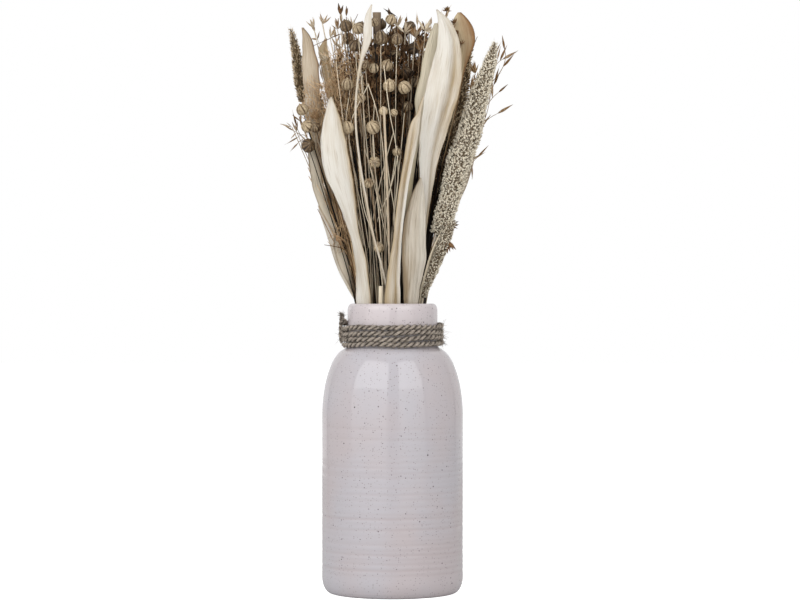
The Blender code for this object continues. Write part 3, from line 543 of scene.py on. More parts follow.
def smooth(stations, count):
    """Stations joined by a curve through each of them, read at evenly spaced places along it."""
    stations = np.asarray(stations, float)
    steps = np.linalg.norm(np.diff(stations[:, :3], axis=0), axis=1)
    along = np.concatenate([[0.0], np.cumsum(steps)])
    slope = np.gradient(stations, along, axis=0)
    at = np.linspace(0, along[-1], count)
    i = np.clip(np.searchsorted(along, at, side="right") - 1, 0, len(along) - 2)
    width = (along[i + 1] - along[i])[:, None]
    t = (at - along[i])[:, None] / width
    return (
        (2 * t**3 - 3 * t**2 + 1) * stations[i]
        + (t**3 - 2 * t**2 + t) * width * slope[i]
        + (3 * t**2 - 2 * t**3) * stations[i + 1]
        + (t**3 - t**2) * width * slope[i + 1]
    )


def leaf(
    stations,
    rows=88,
    columns=16,
    stalk=0.9,
    wave=0.0,
    roll=(0.0, 0.0),
    roll_from=0.7,
    crease=None,
    painted_fold_shading=0.0,
    veins=4,
    vein_height=0.10,
    tone=0.2,
    edges=(0.25, 0.25),
    skew=0.0,
    low_tone=0.0,
    low_from=300.0,
    ragged=1.0,
    seed=0,
):
    """A leaf as a thin closed sheet, from stations of (height, x, y, half width, turn, cup), tip first.

    A point of its middle sheet is the middle line plus across * half width * share, where the share runs
    from -1 at the left edge to 1 at the right. Towards the front are added the cup times (1 - share
    squared), a ripple that grows towards the edges, low veins along the leaf, and a V-shaped crease with its
    own line. Past roll_from an edge follows an arc of roll radians. The two faces are that sheet moved out
    and in by half the thickness. The tone is darker at the edges by edges; to one side by skew, partly the
    leaf's own colour and partly painted shade; below low_from by low_tone; along the crease's valley, as
    painted shade; and past the crease by painted_fold_shading, painted shade where it is above 0 and painted
    light where it is below 0."""
    top = [(x, y, z, half, turn, cup) for z, x, y, half, turn, cup in stations]
    x, y, _, _, turn, _ = top[-1]
    top.append((x, y, STALK_HIGH, stalk * 1.2, turn, 0.0))
    above = smooth(top, rows)
    foot = np.array([[x, y, height, stalk, turn, 0.0] for height in (STALK_LOW, STEM_FOOT)])
    line = np.concatenate([above, foot])[::-1]
    centre, half, turn, cup = line[:, :3], np.maximum(line[:, 3], 0.15), np.radians(line[:, 4]), line[:, 5]
    rng = np.random.default_rng(seed)
    height = centre[:, 2:3]
    uneven = 0.022 * np.sin(height[:, 0] / 5.3 + seed) + 0.016 * np.sin(height[:, 0] / 2.1 + 2 * seed)
    half = half * (1 + ragged * uneven)
    across = np.stack([np.cos(turn), np.sin(turn), np.zeros(len(turn))], axis=1)
    ahead = unit(np.gradient(centre, axis=0))
    front = unit(np.cross(across, ahead))
    share = np.linspace(-1, 1, columns + 1)
    wide = half[:, None]
    body = np.clip(wide / 4, 0, 1)
    past = np.clip((np.abs(share) - roll_from) / (1 - roll_from), 0, 1)
    bend = np.where(share < 0, roll[0], roll[1]) * past * body
    arc = past * (1 - roll_from) * wide
    sideways = np.sign(share) * (np.minimum(np.abs(share), roll_from) * wide + arc * np.sinc(bend / math.pi))
    raised = arc * np.sin(bend / 2) * np.sinc(bend / (2 * math.pi))
    raised = raised + cup[:, None] * (1 - share**2)
    raised = raised + wave * body * np.sin(2 * math.pi * height / WAVE_LENGTH) * share * np.abs(share)
    raised = raised + 0.22 * body * np.sin(height / 7.0 + 3 * share + seed) * (0.4 + share**2)
    raised = raised + 0.10 * body * np.sin(height / 2.6 + 7 * share + 2 * seed) * share**2
    raised = raised + vein_height * body * np.cos(2 * math.pi * veins * share)
    # skew darkens one side: partly the leaf's own colour, partly painted shade.
    tones = tone + np.where(share < 0, edges[0], edges[1]) * np.abs(share) ** 6 + skew * share + 0.0 * height
    tones = tones + low_tone * np.clip((low_from - height) / 60, 0, 1)
    if crease is not None:
        crease = np.array(crease, float)[::-1]
        line_share, deep, broad = (np.interp(height, crease[:, 0], crease[:, k]) for k in (1, 2, 3))
        away = np.abs(share - line_share) * wide
        raised = raised - deep * np.clip(1 - away / broad, 0, 1)
        # Painted shade: a strip along the crease's valley is darkened.
        tones = tones + 0.5 * np.clip(deep / 2, 0, 1) * np.exp(-((away / 1.1) ** 2))
        # Past the crease painted_fold_shading paints shade where it is above 0 and light where it is below 0.
        tones = tones + painted_fold_shading * np.clip(deep / 2, 0, 1) * np.clip((share - line_share) * wide, 0, 1)
    tones = tones + 0.12 * np.sin(height / 17 + seed) + 0.35 * np.clip(1 - wide / 2.5, 0, 1) * (height > RIM)
    sheet = centre[:, None] + across[:, None] * sideways[..., None] + front[:, None] * raised[..., None]
    out = unit(np.cross(np.gradient(sheet, axis=1), np.gradient(sheet, axis=0))) * LEAF_THICKNESS / 2
    points = np.concatenate([(sheet + out).reshape(-1, 3), (sheet - out).reshape(-1, 3)])
    width = columns + 1
    back = len(line) * width
    row, cell = np.meshgrid(np.arange(len(line) - 1), np.arange(columns), indexing="ij")
    a = (row * width + cell).reshape(-1, 1)
    faces = [
        a + np.array([0, 1, width + 1]),
        a + np.array([0, width + 1, width]),
        back + a + np.array([0, width + 1, 1]),
        back + a + np.array([0, width, width + 1]),
    ]
    left = np.arange(len(line) - 1)[:, None] * width
    right = left + columns
    faces += [
        left + np.array([0, width, back + width]),
        left + np.array([0, back + width, back]),
        right + np.array([0, back + width, width]),
        right + np.array([0, back, back + width]),
    ]
    low = np.arange(columns)[:, None]
    high = low + (len(line) - 1) * width
    faces += [
        low + np.array([1, 0, back]),
        low + np.array([1, back, back + 1]),
        high + np.array([0, 1, back + 1]),
        high + np.array([0, back + 1, back]),
    ]
    pattern = np.stack([share * np.max(half) + 0 * height, height + 0 * share], axis=-1).reshape(-1, 2)
    pattern = np.concatenate([pattern, pattern]) + rng.uniform(0, 100, 2)
    return points, np.concatenate(faces), np.tile(tones.reshape(-1), 2), pattern


def leaf_finish(name, pale, deep, fleck):
    """Dried leaf: matt papery skin with fibres 0.3 to 0.6 mm apart, cloudy patches and thin flecks.

    Where the tone passes 1 the leaf turns dark brown: withered on some leaves, painted shade where a leaf's
    lower part lies deep in the bouquet."""
    made, tree, shader = new_finish(name, 0.62, 1.45)
    fibres = noise(tree, laid(tree, (2.0, 0.035)), 1.0, 4.0, 0.6)
    patches = noise(tree, laid(tree, (0.16, 0.04)), 1.0, 3.0)
    streak = noise(tree, laid(tree, (1.4, 0.05), moved=(7.0, 3.0, 0.0)), 1.0, 3.0)
    tone = tone_of(tree)
    amount = maths(tree, "ADD", maths(tree, "MULTIPLY_ADD", fibres, 1.1, -0.55), tone)
    patchy = maths(tree, "MULTIPLY_ADD", patches, 1.0, -0.5)
    colour = mixed(tree, maths(tree, "ADD", amount, patchy, clamp=True), pale, deep)
    colour = mixed(tree, ramp(tree, streak, 0.58, 0.72, 0.6), colour, fleck)
    # The dark brown past a tone of 1.1 is partly withered leaf and partly painted shade.
    colour = mixed(tree, ramp(tree, tone, 1.1, 2.0), colour, WITHERED_AND_SHADE)
    surface(tree, shader, colour, fibres, 0.6, 0.0003)
    return made


cream = leaf_finish("cream dried leaf", "D9D4CA", "B09C7C", "96805F")
grey_cream = leaf_finish("grey-cream dried leaf", "D2CBBE", "9A876C", "6A5A45")
beige = leaf_finish("beige dried leaf", "CBBFAB", "93795A", "5E4A34")
grey_green = leaf_finish("grey-green dried leaf", "D3C9B3", "A5997C", "857A60")
two_tone = leaf_finish("beige leaf turned russet", "BAA888", "8A643B", "5A4029")

LEAVES = {
    "leaf_big_left": (
        cream,
        "cream_leaf",
        dict(wave=0.5, roll=(1.9, 1.1), roll_from=0.74, tone=0.16, edges=(0.1, 1.0), skew=0.12, seed=1),
        (
            (332, -40.7, -27, 0.4, 0, 0),
            (322, -40.3, -28, 4.5, 0, 1.2),
            (303, -39.6, -29, 8.8, 4, 2.4),
            (283, -36.8, -28, 10.0, 6, 3.0),
            (264, -31.1, -26, 6.5, 0, 2.0),
            (247, -26.6, -23, 4.2, -12, 1.2),
            (235, -23.5, -20.5, 3.4, -24, 1.0),
            (222, -20.9, -17.5, 5.1, -34, 1.2),
            (208, -19.4, -14.2, 6.2, -38, 1.4),
            (195, -18.6, -12.9, 6.0, -38, 1.4),
        ),
    ),
    "leaf_outer_left": (
        beige,
        "tan_leaf",
        dict(
            columns=12,
            roll=(1.6, 0.4),
            tone=-0.05,
            edges=(0.9, 1.1),
            skew=0.25,
            veins=3,
            vein_height=0.3,
            ragged=2.0,
            seed=2,
        ),
        (
            (305, -54.8, -13, 0.8, 0, 0),
            (296, -53.9, -13, 2.5, 0, 0.6),
            (284, -51.9, -13, 3.9, 0, 0.8),
            (271, -49.4, -13, 4.0, 5, 0.8),
            (256, -44.4, -11.5, 3.0, 10, 0.6),
            (243, -38.2, -9.5, 2.2, 10, 0.4),
            (231, -35.7, -8, 3.7, 10, 0.6),
            (217, -31.3, -5.5, 3.7, 10, 0.6),
            (204, -27.1, -3.8, 2.2, 60, 0.2),
            (195, -24.3, -3.2, 1.3, 80, 0),
        ),
    ),
    "leaf_pale_left": (
        cream,
        "cream_leaf",
        dict(columns=12, roll=(0.8, 0.3), tone=0.3, seed=3),
        (
            (261, -49.8, 2, 0.6, 0, 0),
            (251, -45.3, 2, 2.4, 0, 0.5),
            (238, -40.5, 2, 3.0, 0, 0.6),
            (221, -35.5, 2, 2.7, 0, 0.6),
            (205, -29.0, 2, 2.0, -50, 0.3),
            (195, -24.3, 2.2, 1.4, -85, 0),
        ),
    ),
    "leaf_far_left": (
        beige,
        "tan_leaf",
        dict(
            columns=16,
            roll=(0.5, 1.2),
            tone=0.42,
            edges=(0.4, 1.0),
            skew=0.2,
            veins=3,
            vein_height=0.3,
            ragged=3.0,
            seed=4,
        ),
        (
            (380, -60.4, -9, 0.5, 0, 0),
            (375, -58.1, -9, 2.5, 0, 0.5),
            (364, -56.1, -9, 4.5, 0, 1.0),
            (344, -54.3, -9, 5.7, 0, 1.4),
            (324, -52.6, -9, 5.4, 0, 1.2),
            (298, -47.3, -7, 4.0, 0, 0.8),
            (264, -39.3, -5, 2.4, 0, 0.4),
            (195, -20.6, -1.2, 1.1, 0, 0),
        ),
    ),
    "leaf_inner_left": (
        two_tone,
        "tan_leaf",
        dict(columns=12, roll=(0.4, 1.0), tone=0.08, ragged=4.0, low_tone=1.5, seed=5),
        (
            (374, -45.0, 3, 0.7, 0, 0),
            (367, -46.8, 3, 3.2, 0, 0.6),
            (356, -44.6, 3, 3.7, 0, 0.8),
            (339, -40.9, 3, 4.1, 0, 0.8),
            (305, -36.2, 3, 2.7, 0, 0.5),
            (250, -27.5, 3, 1.4, 0, 0.2),
            (195, -16.9, 3, 1.0, 0, 0),
        ),
    ),
    "leaf_thin_centre": (
        cream,
        "cream_leaf",
        dict(columns=6, rows=110, stalk=0.7, roll=(0.9, 0.9), roll_from=0.5, tone=0.25, seed=6),
        (
            (393, -13.7, -30, 0.4, 0, 0),
            (388, -15.4, -31, 1.5, 0, 0.2),
            (381, -16.2, -32, 2.6, 0, 0.5),
            (369, -16.7, -33, 2.8, 0, 0.6),
            (356, -20.4, -35, 1.3, 0, 0.2),
            (323, -24.3, -36, 0.7, 0, 0),
            (286, -21.2, -33, 0.7, 0, 0),
            (263, -17.2, -31, 0.7, 0, 0),
            (240, -12.6, -28, 0.7, 0, 0),
            (218, -6.7, -22.5, 0.7, 0, 0),
            (195, -2.3, -18.3, 0.7, 0, 0),
        ),
    ),
    "leaf_big_right": (
        cream,
        "cream_leaf",
        dict(
            columns=26,
            rows=110,
            wave=0.35,
            roll=(0.7, 0.8),
            roll_from=0.8,
            tone=0.05,
            edges=(0.2, 0.3),
            # painted_fold_shading: painted shadow on the flap right of the crease.
            painted_fold_shading=0.38,
            crease=(
                (386, 0.1, 0.4, 2.0),
                (372, 0.42, 2.4, 2.6),
                (350, 0.45, 4.0, 3.2),
                (329, 0.42, 4.2, 3.2),
                (310, 0.30, 3.8, 3.0),
                (290, 0.30, 3.0, 2.6),
                (262, 0.45, 1.8, 2.0),
                (240, 0.30, 0.8, 1.5),
                (200, 0.0, 0.3, 1.0),
            ),
            seed=7,
        ),
        (
            (389, 29.4, -36, 0.4, 0, 0),
            (382, 33.9, -36, 3.8, 0, 0.8),
            (369, 37.0, -36, 6.9, -4, 1.8),
            (350, 35.7, -35, 10.6, -6, 2.8),
            (329, 31.9, -34, 11.1, -4, 2.8),
            (310, 27.7, -31, 9.1, 0, 2.2),
            (290, 24.1, -28, 6.5, 0, 1.4),
            (274, 22.9, -25, 4.3, 0, 0.8),
            (257, 22.2, -22, 2.2, 0, 0.3),
            (237, 19.4, -18.5, 2.3, 0, 0.3),
            (195, 11.7, -15, 2.2, 10, 0.2),
        ),
    ),
    # Its part below 300 mm is darkened to near black by low_tone: painted shade between the leaves.
    "leaf_grey_right": (
        grey_green,
        "cream_leaf",
        dict(columns=14, roll=(0.5, 0.2), tone=0.2, edges=(0.5, 0.3), low_tone=1.9, veins=3, seed=8),
        (
            (381, 28.9, -27, 0.9, 0, 0),
            (370, 27.6, -27, 4.0, 0, 0.8),
            (357, 25.3, -26, 5.0, 0, 1.0),
            (343, 22.6, -25, 5.0, 0, 1.0),
            (330, 19.6, -24, 4.7, 0, 0.8),
            (322, 18.8, -23, 3.3, 0, 0.6),
            (304, 16.3, -21, 2.0, 0, 0.4),
            (264, 10.7, -17, 1.6, 0, 0.3),
            (195, 3.7, -11, 1.4, 0, 0.1),
        ),
    ),
    "leaf_folded_front": (
        cream,
        "cream_leaf",
        dict(
            columns=14,
            rows=110,
            roll=(0.6, 0.9),
            tone=0.55,
            # skew: painted shade on the left side.
            skew=-0.35,
            edges=(0.7, 0.2),
            crease=(
                (322, 0.0, 0.0, 1.0),
                (300, 0.05, 1.4, 1.4),
                (260, 0.15, 2.2, 1.5),
                (240, 0.25, 2.4, 1.7),
                (215, 0.35, 2.8, 2.2),
                (195, 0.45, 2.8, 2.2),
            ),
            # painted_fold_shading below 0: painted light on the strip right of the crease.
            painted_fold_shading=-0.3,
            seed=9,
        ),
        (
            (331, 20.4, -44, 0.4, 0, 0),
            (325, 18.9, -44, 1.2, 0, 0.3),
            (319, 17.2, -44, 1.5, 0, 0.5),
            (315, 15.6, -44, 2.8, 0, 0.9),
            (308, 14.1, -44, 3.6, 0, 1.0),
            (292, 11.2, -42, 3.3, 0, 1.0),
            (273, 7.7, -39, 3.1, 0, 0.9),
            (253, 5.0, -35, 3.0, 0, 0.8),
            (233, 2.8, -31, 3.1, 0, 0.8),
            (214, 0.8, -27, 4.5, 0, 0.9),
            (195, -0.2, -23.4, 5.6, 0, 0.7),
        ),
    ),
    "leaf_low_right": (
        grey_cream,
        "cream_leaf",
        dict(
            columns=20,
            rows=84,
            roll=(0.9, 0.5),
            tone=0.27,
            # skew: the darker left side is partly brown streaks and partly painted shade.
            skew=-0.32,
            edges=(0.9, 0.3),
            low_tone=0.2,
            veins=7,
            vein_height=0.34,
            crease=(
                (262, -0.5, 0.0, 1.0),
                (235, -0.75, 0.9, 1.8),
                (210, -0.6, 1.6, 2.2),
                (195, -0.5, 1.6, 2.2),
            ),
            seed=10,
        ),
        (
            (278, 18.7, -33, 0.5, 0, 0),
            (270, 17.4, -32, 3.5, 0, 0.8),
            (257, 15.6, -31, 6.0, 0, 1.8),
            (240, 14.1, -28.5, 8.2, 6, 2.4),
            (224, 14.0, -26, 8.2, 14, 2.0),
            (210, 12.8, -23, 7.0, 24, 1.4),
            (195, 11.9, -20.2, 5.6, 30, 0.8),
        ),
    ),
    "leaf_tan_right": (
        two_tone,
        "tan_leaf",
        dict(
            columns=18,
            roll=(0.3, 0.8),
            tone=0.3,
            skew=0.6,
            edges=(0.5, 0.4),
            low_tone=2.0,
            veins=5,
            seed=11,
        ),
        (
            (390, 44.9, -11, 1.0, 0, 0),
            (386, 45.6, -11, 4.4, 0, 0.7),
            (379, 47.1, -11, 7.2, 0, 1.2),
            (370, 48.8, -11, 6.9, 0, 1.2),
            (362, 48.6, -10, 4.0, 0, 0.7),
            (356, 48.1, -10, 2.0, 0, 0.3),
            (332, 43.7, -9, 0.9, 0, 0.1),
            (264, 27.9, -5, 0.7, 0, 0.1),
            (195, 14.6, -1.2, 0.7, 0, 0),
        ),
    ),
    "leaf_back_left": (
        cream,
        "cream_leaf",
        dict(columns=18, wave=0.8, roll=(0.9, 1.3), tone=0.25, seed=12),
        (
            (365, -38, 40, 0.5, 180, 0),
            (350, -37, 41, 5.5, 180, 1.2),
            (328, -34, 41, 8.8, 184, 2.4),
            (300, -29, 38, 9.0, 186, 2.6),
            (270, -22, 32, 6.0, 182, 1.8),
            (240, -16, 25.5, 3.8, 182, 1.0),
            (215, -12.5, 22, 4.4, 196, 1.0),
            (195, -11.0, 20.2, 4.6, 206, 1.0),
        ),
    ),
    "leaf_back_right": (
        cream,
        "cream_leaf",
        dict(columns=18, wave=0.8, roll=(1.3, 0.9), tone=0.15, seed=13),
        (
            (378, 30, 44, 0.5, 180, 0),
            (362, 30, 45, 6.0, 178, 1.4),
            (338, 28, 45, 9.4, 176, 2.6),
            (306, 23, 41, 8.8, 176, 2.4),
            (272, 16, 34, 5.4, 178, 1.5),
            (236, 9, 27, 3.6, 178, 0.9),
            (212, 6, 24.4, 4.6, 176, 0.9),
            (195, 5.0, 23.2, 4.8, 174, 0.7),
        ),
    ),
    "leaf_back_outer": (
        beige,
        "tan_leaf",
        dict(columns=14, roll=(0.8, 0.8), tone=0.35, seed=14),
        (
            (318, 56, 24, 0.5, 150, 0),
            (306, 54, 24, 3.6, 150, 0.8),
            (286, 49, 23.5, 5.6, 150, 1.4),
            (260, 40, 21, 4.6, 148, 1.0),
            (230, 29, 17.5, 3.0, 146, 0.6),
            (195, 18.6, 13.6, 2.0, 140, 0.2),
        ),
    ),
}

for name, (finish, slot, form, stations) in LEAVES.items():
    piece(name + "_veined", leaf(stations, **form), finish, slot, name)


# The cut ends: a pale stick with a square top and a flattened reed at the front of the neck, and a strip of
# brown leaf cut square across, which stands up among the pods.

strip_stations = (
    (391, -10.6, -3, 2.7, 0, 0.2),
    (377, -10.4, -3, 2.7, 0, 0.3),
    (358, -9.7, -3, 2.3, 0, 0.3),
    (332, -8.7, -3, 1.7, 0, 0.2),
    (264, -5.7, -2.5, 1.1, 0, 0.1),
    (195, -4.0, -2.5, 1.0, 0, 0),
)
brown_leaf = leaf_finish("brown dried leaf", "8C7A64", "54402C", "33251A")
strip_shape = leaf(strip_stations, columns=10, tone=0.3, low_from=386.0, low_tone=6.0, seed=15)
piece("strip_brown_veined", strip_shape, brown_leaf, "tan_leaf", "strip_brown")


def plant_finish(name, colours, roughness, ior, cell, detail, drift, dark, even=False, along=None, relief=()):
    """Dry plant skin: the first colour at tone 0, the second at 1, and the third past the tones in dark.

    Noise with cells of so many millimetres, times drift's first number and plus its second, is added to the
    tone; along stretches it, and even keeps it out of the third colour. relief is a strength and a depth."""
    made, tree, shader = new_finish(name, roughness, ior)
    place = in_millimetres(tree)
    if along is not None:
        place = add(tree, "ShaderNodeVectorMath", {0: place, 1: along}, operation="MULTIPLY").outputs[0]
    grain = noise(tree, place, 1 / cell, detail)
    tone = tone_of(tree)
    amount = maths(tree, "ADD", maths(tree, "MULTIPLY_ADD", grain, *drift), tone)
    colour = mixed(tree, ramp(tree, amount, 0.0, 1.0), colours[0], colours[1])
    colour = mixed(tree, ramp(tree, tone if even else amount, *dark), colour, colours[2])
    surface(tree, shader, colour, grain if relief else None, *relief)
    return made


# Dried straw and split wood: pale and matt, with fine grain along the stalk and slow changes of colour.
# Past a tone of 1 it runs to near black, painted shade for stems deep in the bouquet.

straw = plant_finish(
    "dried straw",
    ("E2D5BD", "85643F", "0E0804"),
    roughness=0.75,
    ior=1.3,
    cell=1.0,
    detail=3.0,
    drift=(0.8, -0.4),
    dark=(1.0, 2.0),
    along=(2.2, 2.2, 0.05),
    relief=(0.35, 0.0002),
)

stick_line = smooth([(-8.2, -20.8, STEM_FOOT), (-8.2, -20.8, STALK_HIGH), (-7.6, -21.2, 206.4)], 40)
stick_side = np.arange(10)
stick_sides = 1.8 * (1 + 0.09 * np.cos(2 * stick_side * 2 * math.pi / 10) + 0.05 * np.sin(stick_side * 2.1))
piece("cut_stick_split", tubes(stick_line[None], stick_sides, 10, 0.05), straw, "cream_leaf", "cut_stick")

reed_line = smooth(
    [
        (-1.0, -14.3, STEM_FOOT),
        (-1.0, -14.3, NECK_ENTRY),
        (-2.4, -24, 240),
        (-4.3, -32, 296),
        (-5.3, -33, 318),
        (-5.4, -33, 325),
    ],
    80,
)
reed_radii = np.linspace(0.5, 0.66, 80)[:, None] * (1 + 0.25 * np.cos(2 * np.arange(8) * 2 * math.pi / 8))
piece("reed_flattened", tubes(reed_line[None], reed_radii[None], 8, 0.45), straw, "cream_leaf", "reed")


# The flax: thin straw stems that branch inside the vase and fan out, each ending in a round seed pod.
# A pod is a ribbed capsule 5 to 9 mm across with a pointed tip, five small sepals at its base and ten seams,
# of which every other one is deep; the seams are painted dark as shade.

FLAX_FORK = 140.0
FLAX_RING_FROM = 172.0
FLAX_SPREAD_FROM = 180.0
FLAX_NECK_RING = 1.9
FLAX_STEM_RADIUS = 0.40
POD_SIDES = 30


def middle(foothold, lean, top, heights):
    """A spray's middle line: straight up to the neck, then out to where it leans as a power of its rise."""
    rise = np.clip((heights - FLAX_SPREAD_FROM) / (top - FLAX_SPREAD_FROM), 0, None)
    share = rise**1.15
    x, y = (low + (high - low) * share for low, high in zip(foothold, lean))
    return np.stack([x, y, heights], axis=-1)


def pod():
    """A pod of radius 1 that points up from its stalk: a round body with a short beak, pinched at ten seams.

    The radius at a height is given by stations, times 1 less a pinch at each seam; every other seam is
    deeper. The tone, painted shade in the seams, is nearly 1 more in a deep seam and a third of that in the
    others."""
    along = np.array([-1.0, -0.93, -0.72, -0.4, 0.0, 0.4, 0.72, 0.92, 1.02, 1.22])
    wide = np.array([0.16, 0.42, 0.76, 0.97, 1.0, 0.94, 0.70, 0.40, 0.17, 0.03])
    side = np.arange(POD_SIDES)
    seam = np.where(side % 6 == 0, 1.0, np.where(side % 3 == 0, 0.35, 0.0))
    depth = np.array([0.0, 0.2, 0.5, 0.8, 0.9, 1, 1, 1, 0.8, 0.6])[:, None]
    path = np.stack([0 * along, 0 * along, along], axis=1)[None]
    radii = wide[:, None] * (1 - 0.10 * seam * depth)
    return tubes(path, radii[None], POD_SIDES, (0.95 * seam * depth)[None], across=TO_THE_RIGHT)


def husk(rows=6, sides=6, belly=0.45):
    """A husk of length 1 and half width 1 that points up: a spindle, widest at belly, with a sharp end."""
    along = np.linspace(0, 1, rows)
    below = (along / belly) ** 0.6
    above = ((1 - along) / (1 - belly)) ** 0.85
    wide = np.clip(np.where(along < belly, below, above), 0.06, 1)
    path = np.stack([0 * along, 0 * along, along], axis=1)[None]
    return tubes(path, wide[None, :, None], sides, along[None, :, None], across=TO_THE_RIGHT)


def flattened(factors, width, length):
    """Sizes for husks of that width and length, seven tenths as thick as wide, each times its own factor."""
    return factors[:, None] * np.array([width, width * 0.7, length])


def copies(shape, places, ahead, sizes, tones, spins, scale_tone=1.0):
    """Copies of a shape that points up: each is sized, turned to point ahead, spun on itself and placed.

    A point is the place plus first axis * x + second axis * y + ahead * z. sizes is copies x 3."""
    points, faces, tone, pattern = shape
    ahead = unit(ahead)
    helper = np.eye(3)[np.abs(ahead).argmin(axis=1)]
    side = unit(np.cross(ahead, helper))
    other = np.cross(ahead, side)
    cosine, sine = np.cos(spins)[:, None], np.sin(spins)[:, None]
    frames = np.stack([side * cosine + other * sine, other * cosine - side * sine, ahead], axis=1)
    placed = places[:, None] + np.einsum("cpk,ckj->cpj", points * sizes[:, None], frames)
    count = len(places)
    return (
        placed.reshape(-1, 3),
        (faces + (np.arange(count) * len(points))[:, None, None]).reshape(-1, 3),
        (tone * scale_tone + tones[:, None]).reshape(-1),
        np.tile(pattern, (count, 1)),
    )


# Flax capsules: dry, matt and papery, grey-tan to brown and mottled, with seams painted near black as
# shade; few are cream.

capsule = plant_finish(
    "dried flax capsule",
    ("D0BC9B", "5F4A31", "241A12"),
    roughness=0.6,
    ior=1.45,
    cell=1.3,
    detail=3.0,
    drift=(1.4, -0.72),
    dark=(0.95, 1.7),
    even=True,
    relief=(0.5, 0.0003),
)


def flax_spray(foothold, lean, pods, nod, tone, seed):
    """Stems along the spray's own lines and, apart, its pods and their sepals.

    A stem's line is the spray's middle line plus its place in the ring that leaves the neck, which fades as
    its reach to the pod grows, plus a slow sway of under half a millimetre. A pod points on from its stem,
    less or more, and nods outward by nod."""
    rng = np.random.default_rng(seed)
    places = np.array([place[:3] for place in pods], float)
    radii = np.array([place[3] for place in pods], float)
    top = places[:, 2].max()
    count = len(pods)
    outward = places[:, :2] - middle(foothold, lean, top, places[:, 2])[:, :2]
    order = np.argsort(np.argsort(np.arctan2(outward[:, 1], outward[:, 0])))
    turn = 2 * math.pi * order / count - math.pi
    ring = FLAX_NECK_RING * np.stack([np.cos(turn), np.sin(turn)], axis=1)
    rise = np.linspace(0, 1, 34)
    heights = (FLAX_FORK - 4) + (places[:, 2:3] - 0.8 * radii[:, None] - FLAX_FORK + 4) * rise
    lines = middle(foothold, lean, top, heights)
    share = np.clip((heights - FLAX_RING_FROM) / (heights[:, -1:] - FLAX_RING_FROM), 0, 1)[..., None]
    lines[..., :2] += ring[:, None] * np.where(heights > FLAX_RING_FROM, 1, 0.2)[..., None] * (1 - share)
    lines[..., :2] += outward[:, None] * share**1.4
    sway = np.sin(heights[..., None] / 19 + rng.uniform(0, 6, (count, 1, 2))) * 0.45 * np.sin(share * math.pi)
    lines[..., :2] += sway
    thin = FLAX_STEM_RADIUS * (1.0 - 0.28 * share)
    # Most stems are near black: painted shade between the pale ones.
    is_pale = rng.uniform(0, 1, count) < 0.3
    stem_tones = np.where(is_pale, rng.uniform(0, 0.6, count), rng.uniform(1.7, 2.5, count))
    stems = tubes(lines, thin, 5, stem_tones[:, None, None])
    trunk_line = middle(foothold, lean, top, np.linspace(STEM_FOOT, FLAX_FORK, 8))
    trunk = strands(trunk_line[None], 1.1, 6, 1.8)
    ahead = unit(unit(lines[:, -1] - lines[:, -4]) + rng.normal(0, 0.42, (count, 3)) + np.array([0, nod, 0]))
    sizes = radii[:, None] * np.array([1.0, 1.0, 0.95]) * rng.uniform(0.96, 1.08, (count, 3))
    tones = tone + rng.uniform(-0.35, 0.35, count) + 0.2 * np.clip((places[:, 2] - 345) / 20, -0.6, 1)
    capsules = copies(pod(), places, ahead, sizes, tones, rng.uniform(0, 6, count))
    five = np.arange(5) * 2 * math.pi / 5
    side = unit(np.cross(ahead, np.array([1.0, 0.2, 0.1])))
    other = np.cross(ahead, side)
    around = side[:, None] * np.cos(five)[:, None] + other[:, None] * np.sin(five)[:, None]
    roots = np.repeat(places - ahead * radii[:, None] * 0.98, 5, axis=0)
    ways = around * 0.9 + ahead[:, None] * 0.75
    long = np.repeat(radii, 5) * rng.uniform(0.8, 1.15, count * 5)
    sepals = copies(
        husk(4, 4),
        roots,
        ways.reshape(-1, 3),
        long[:, None] * np.array([0.16, 0.16, 0.9]),
        np.repeat(tones + 0.3, 5),
        np.zeros(count * 5),
        0.0,
    )
    return joined(trunk, stems), joined(capsules, sepals)


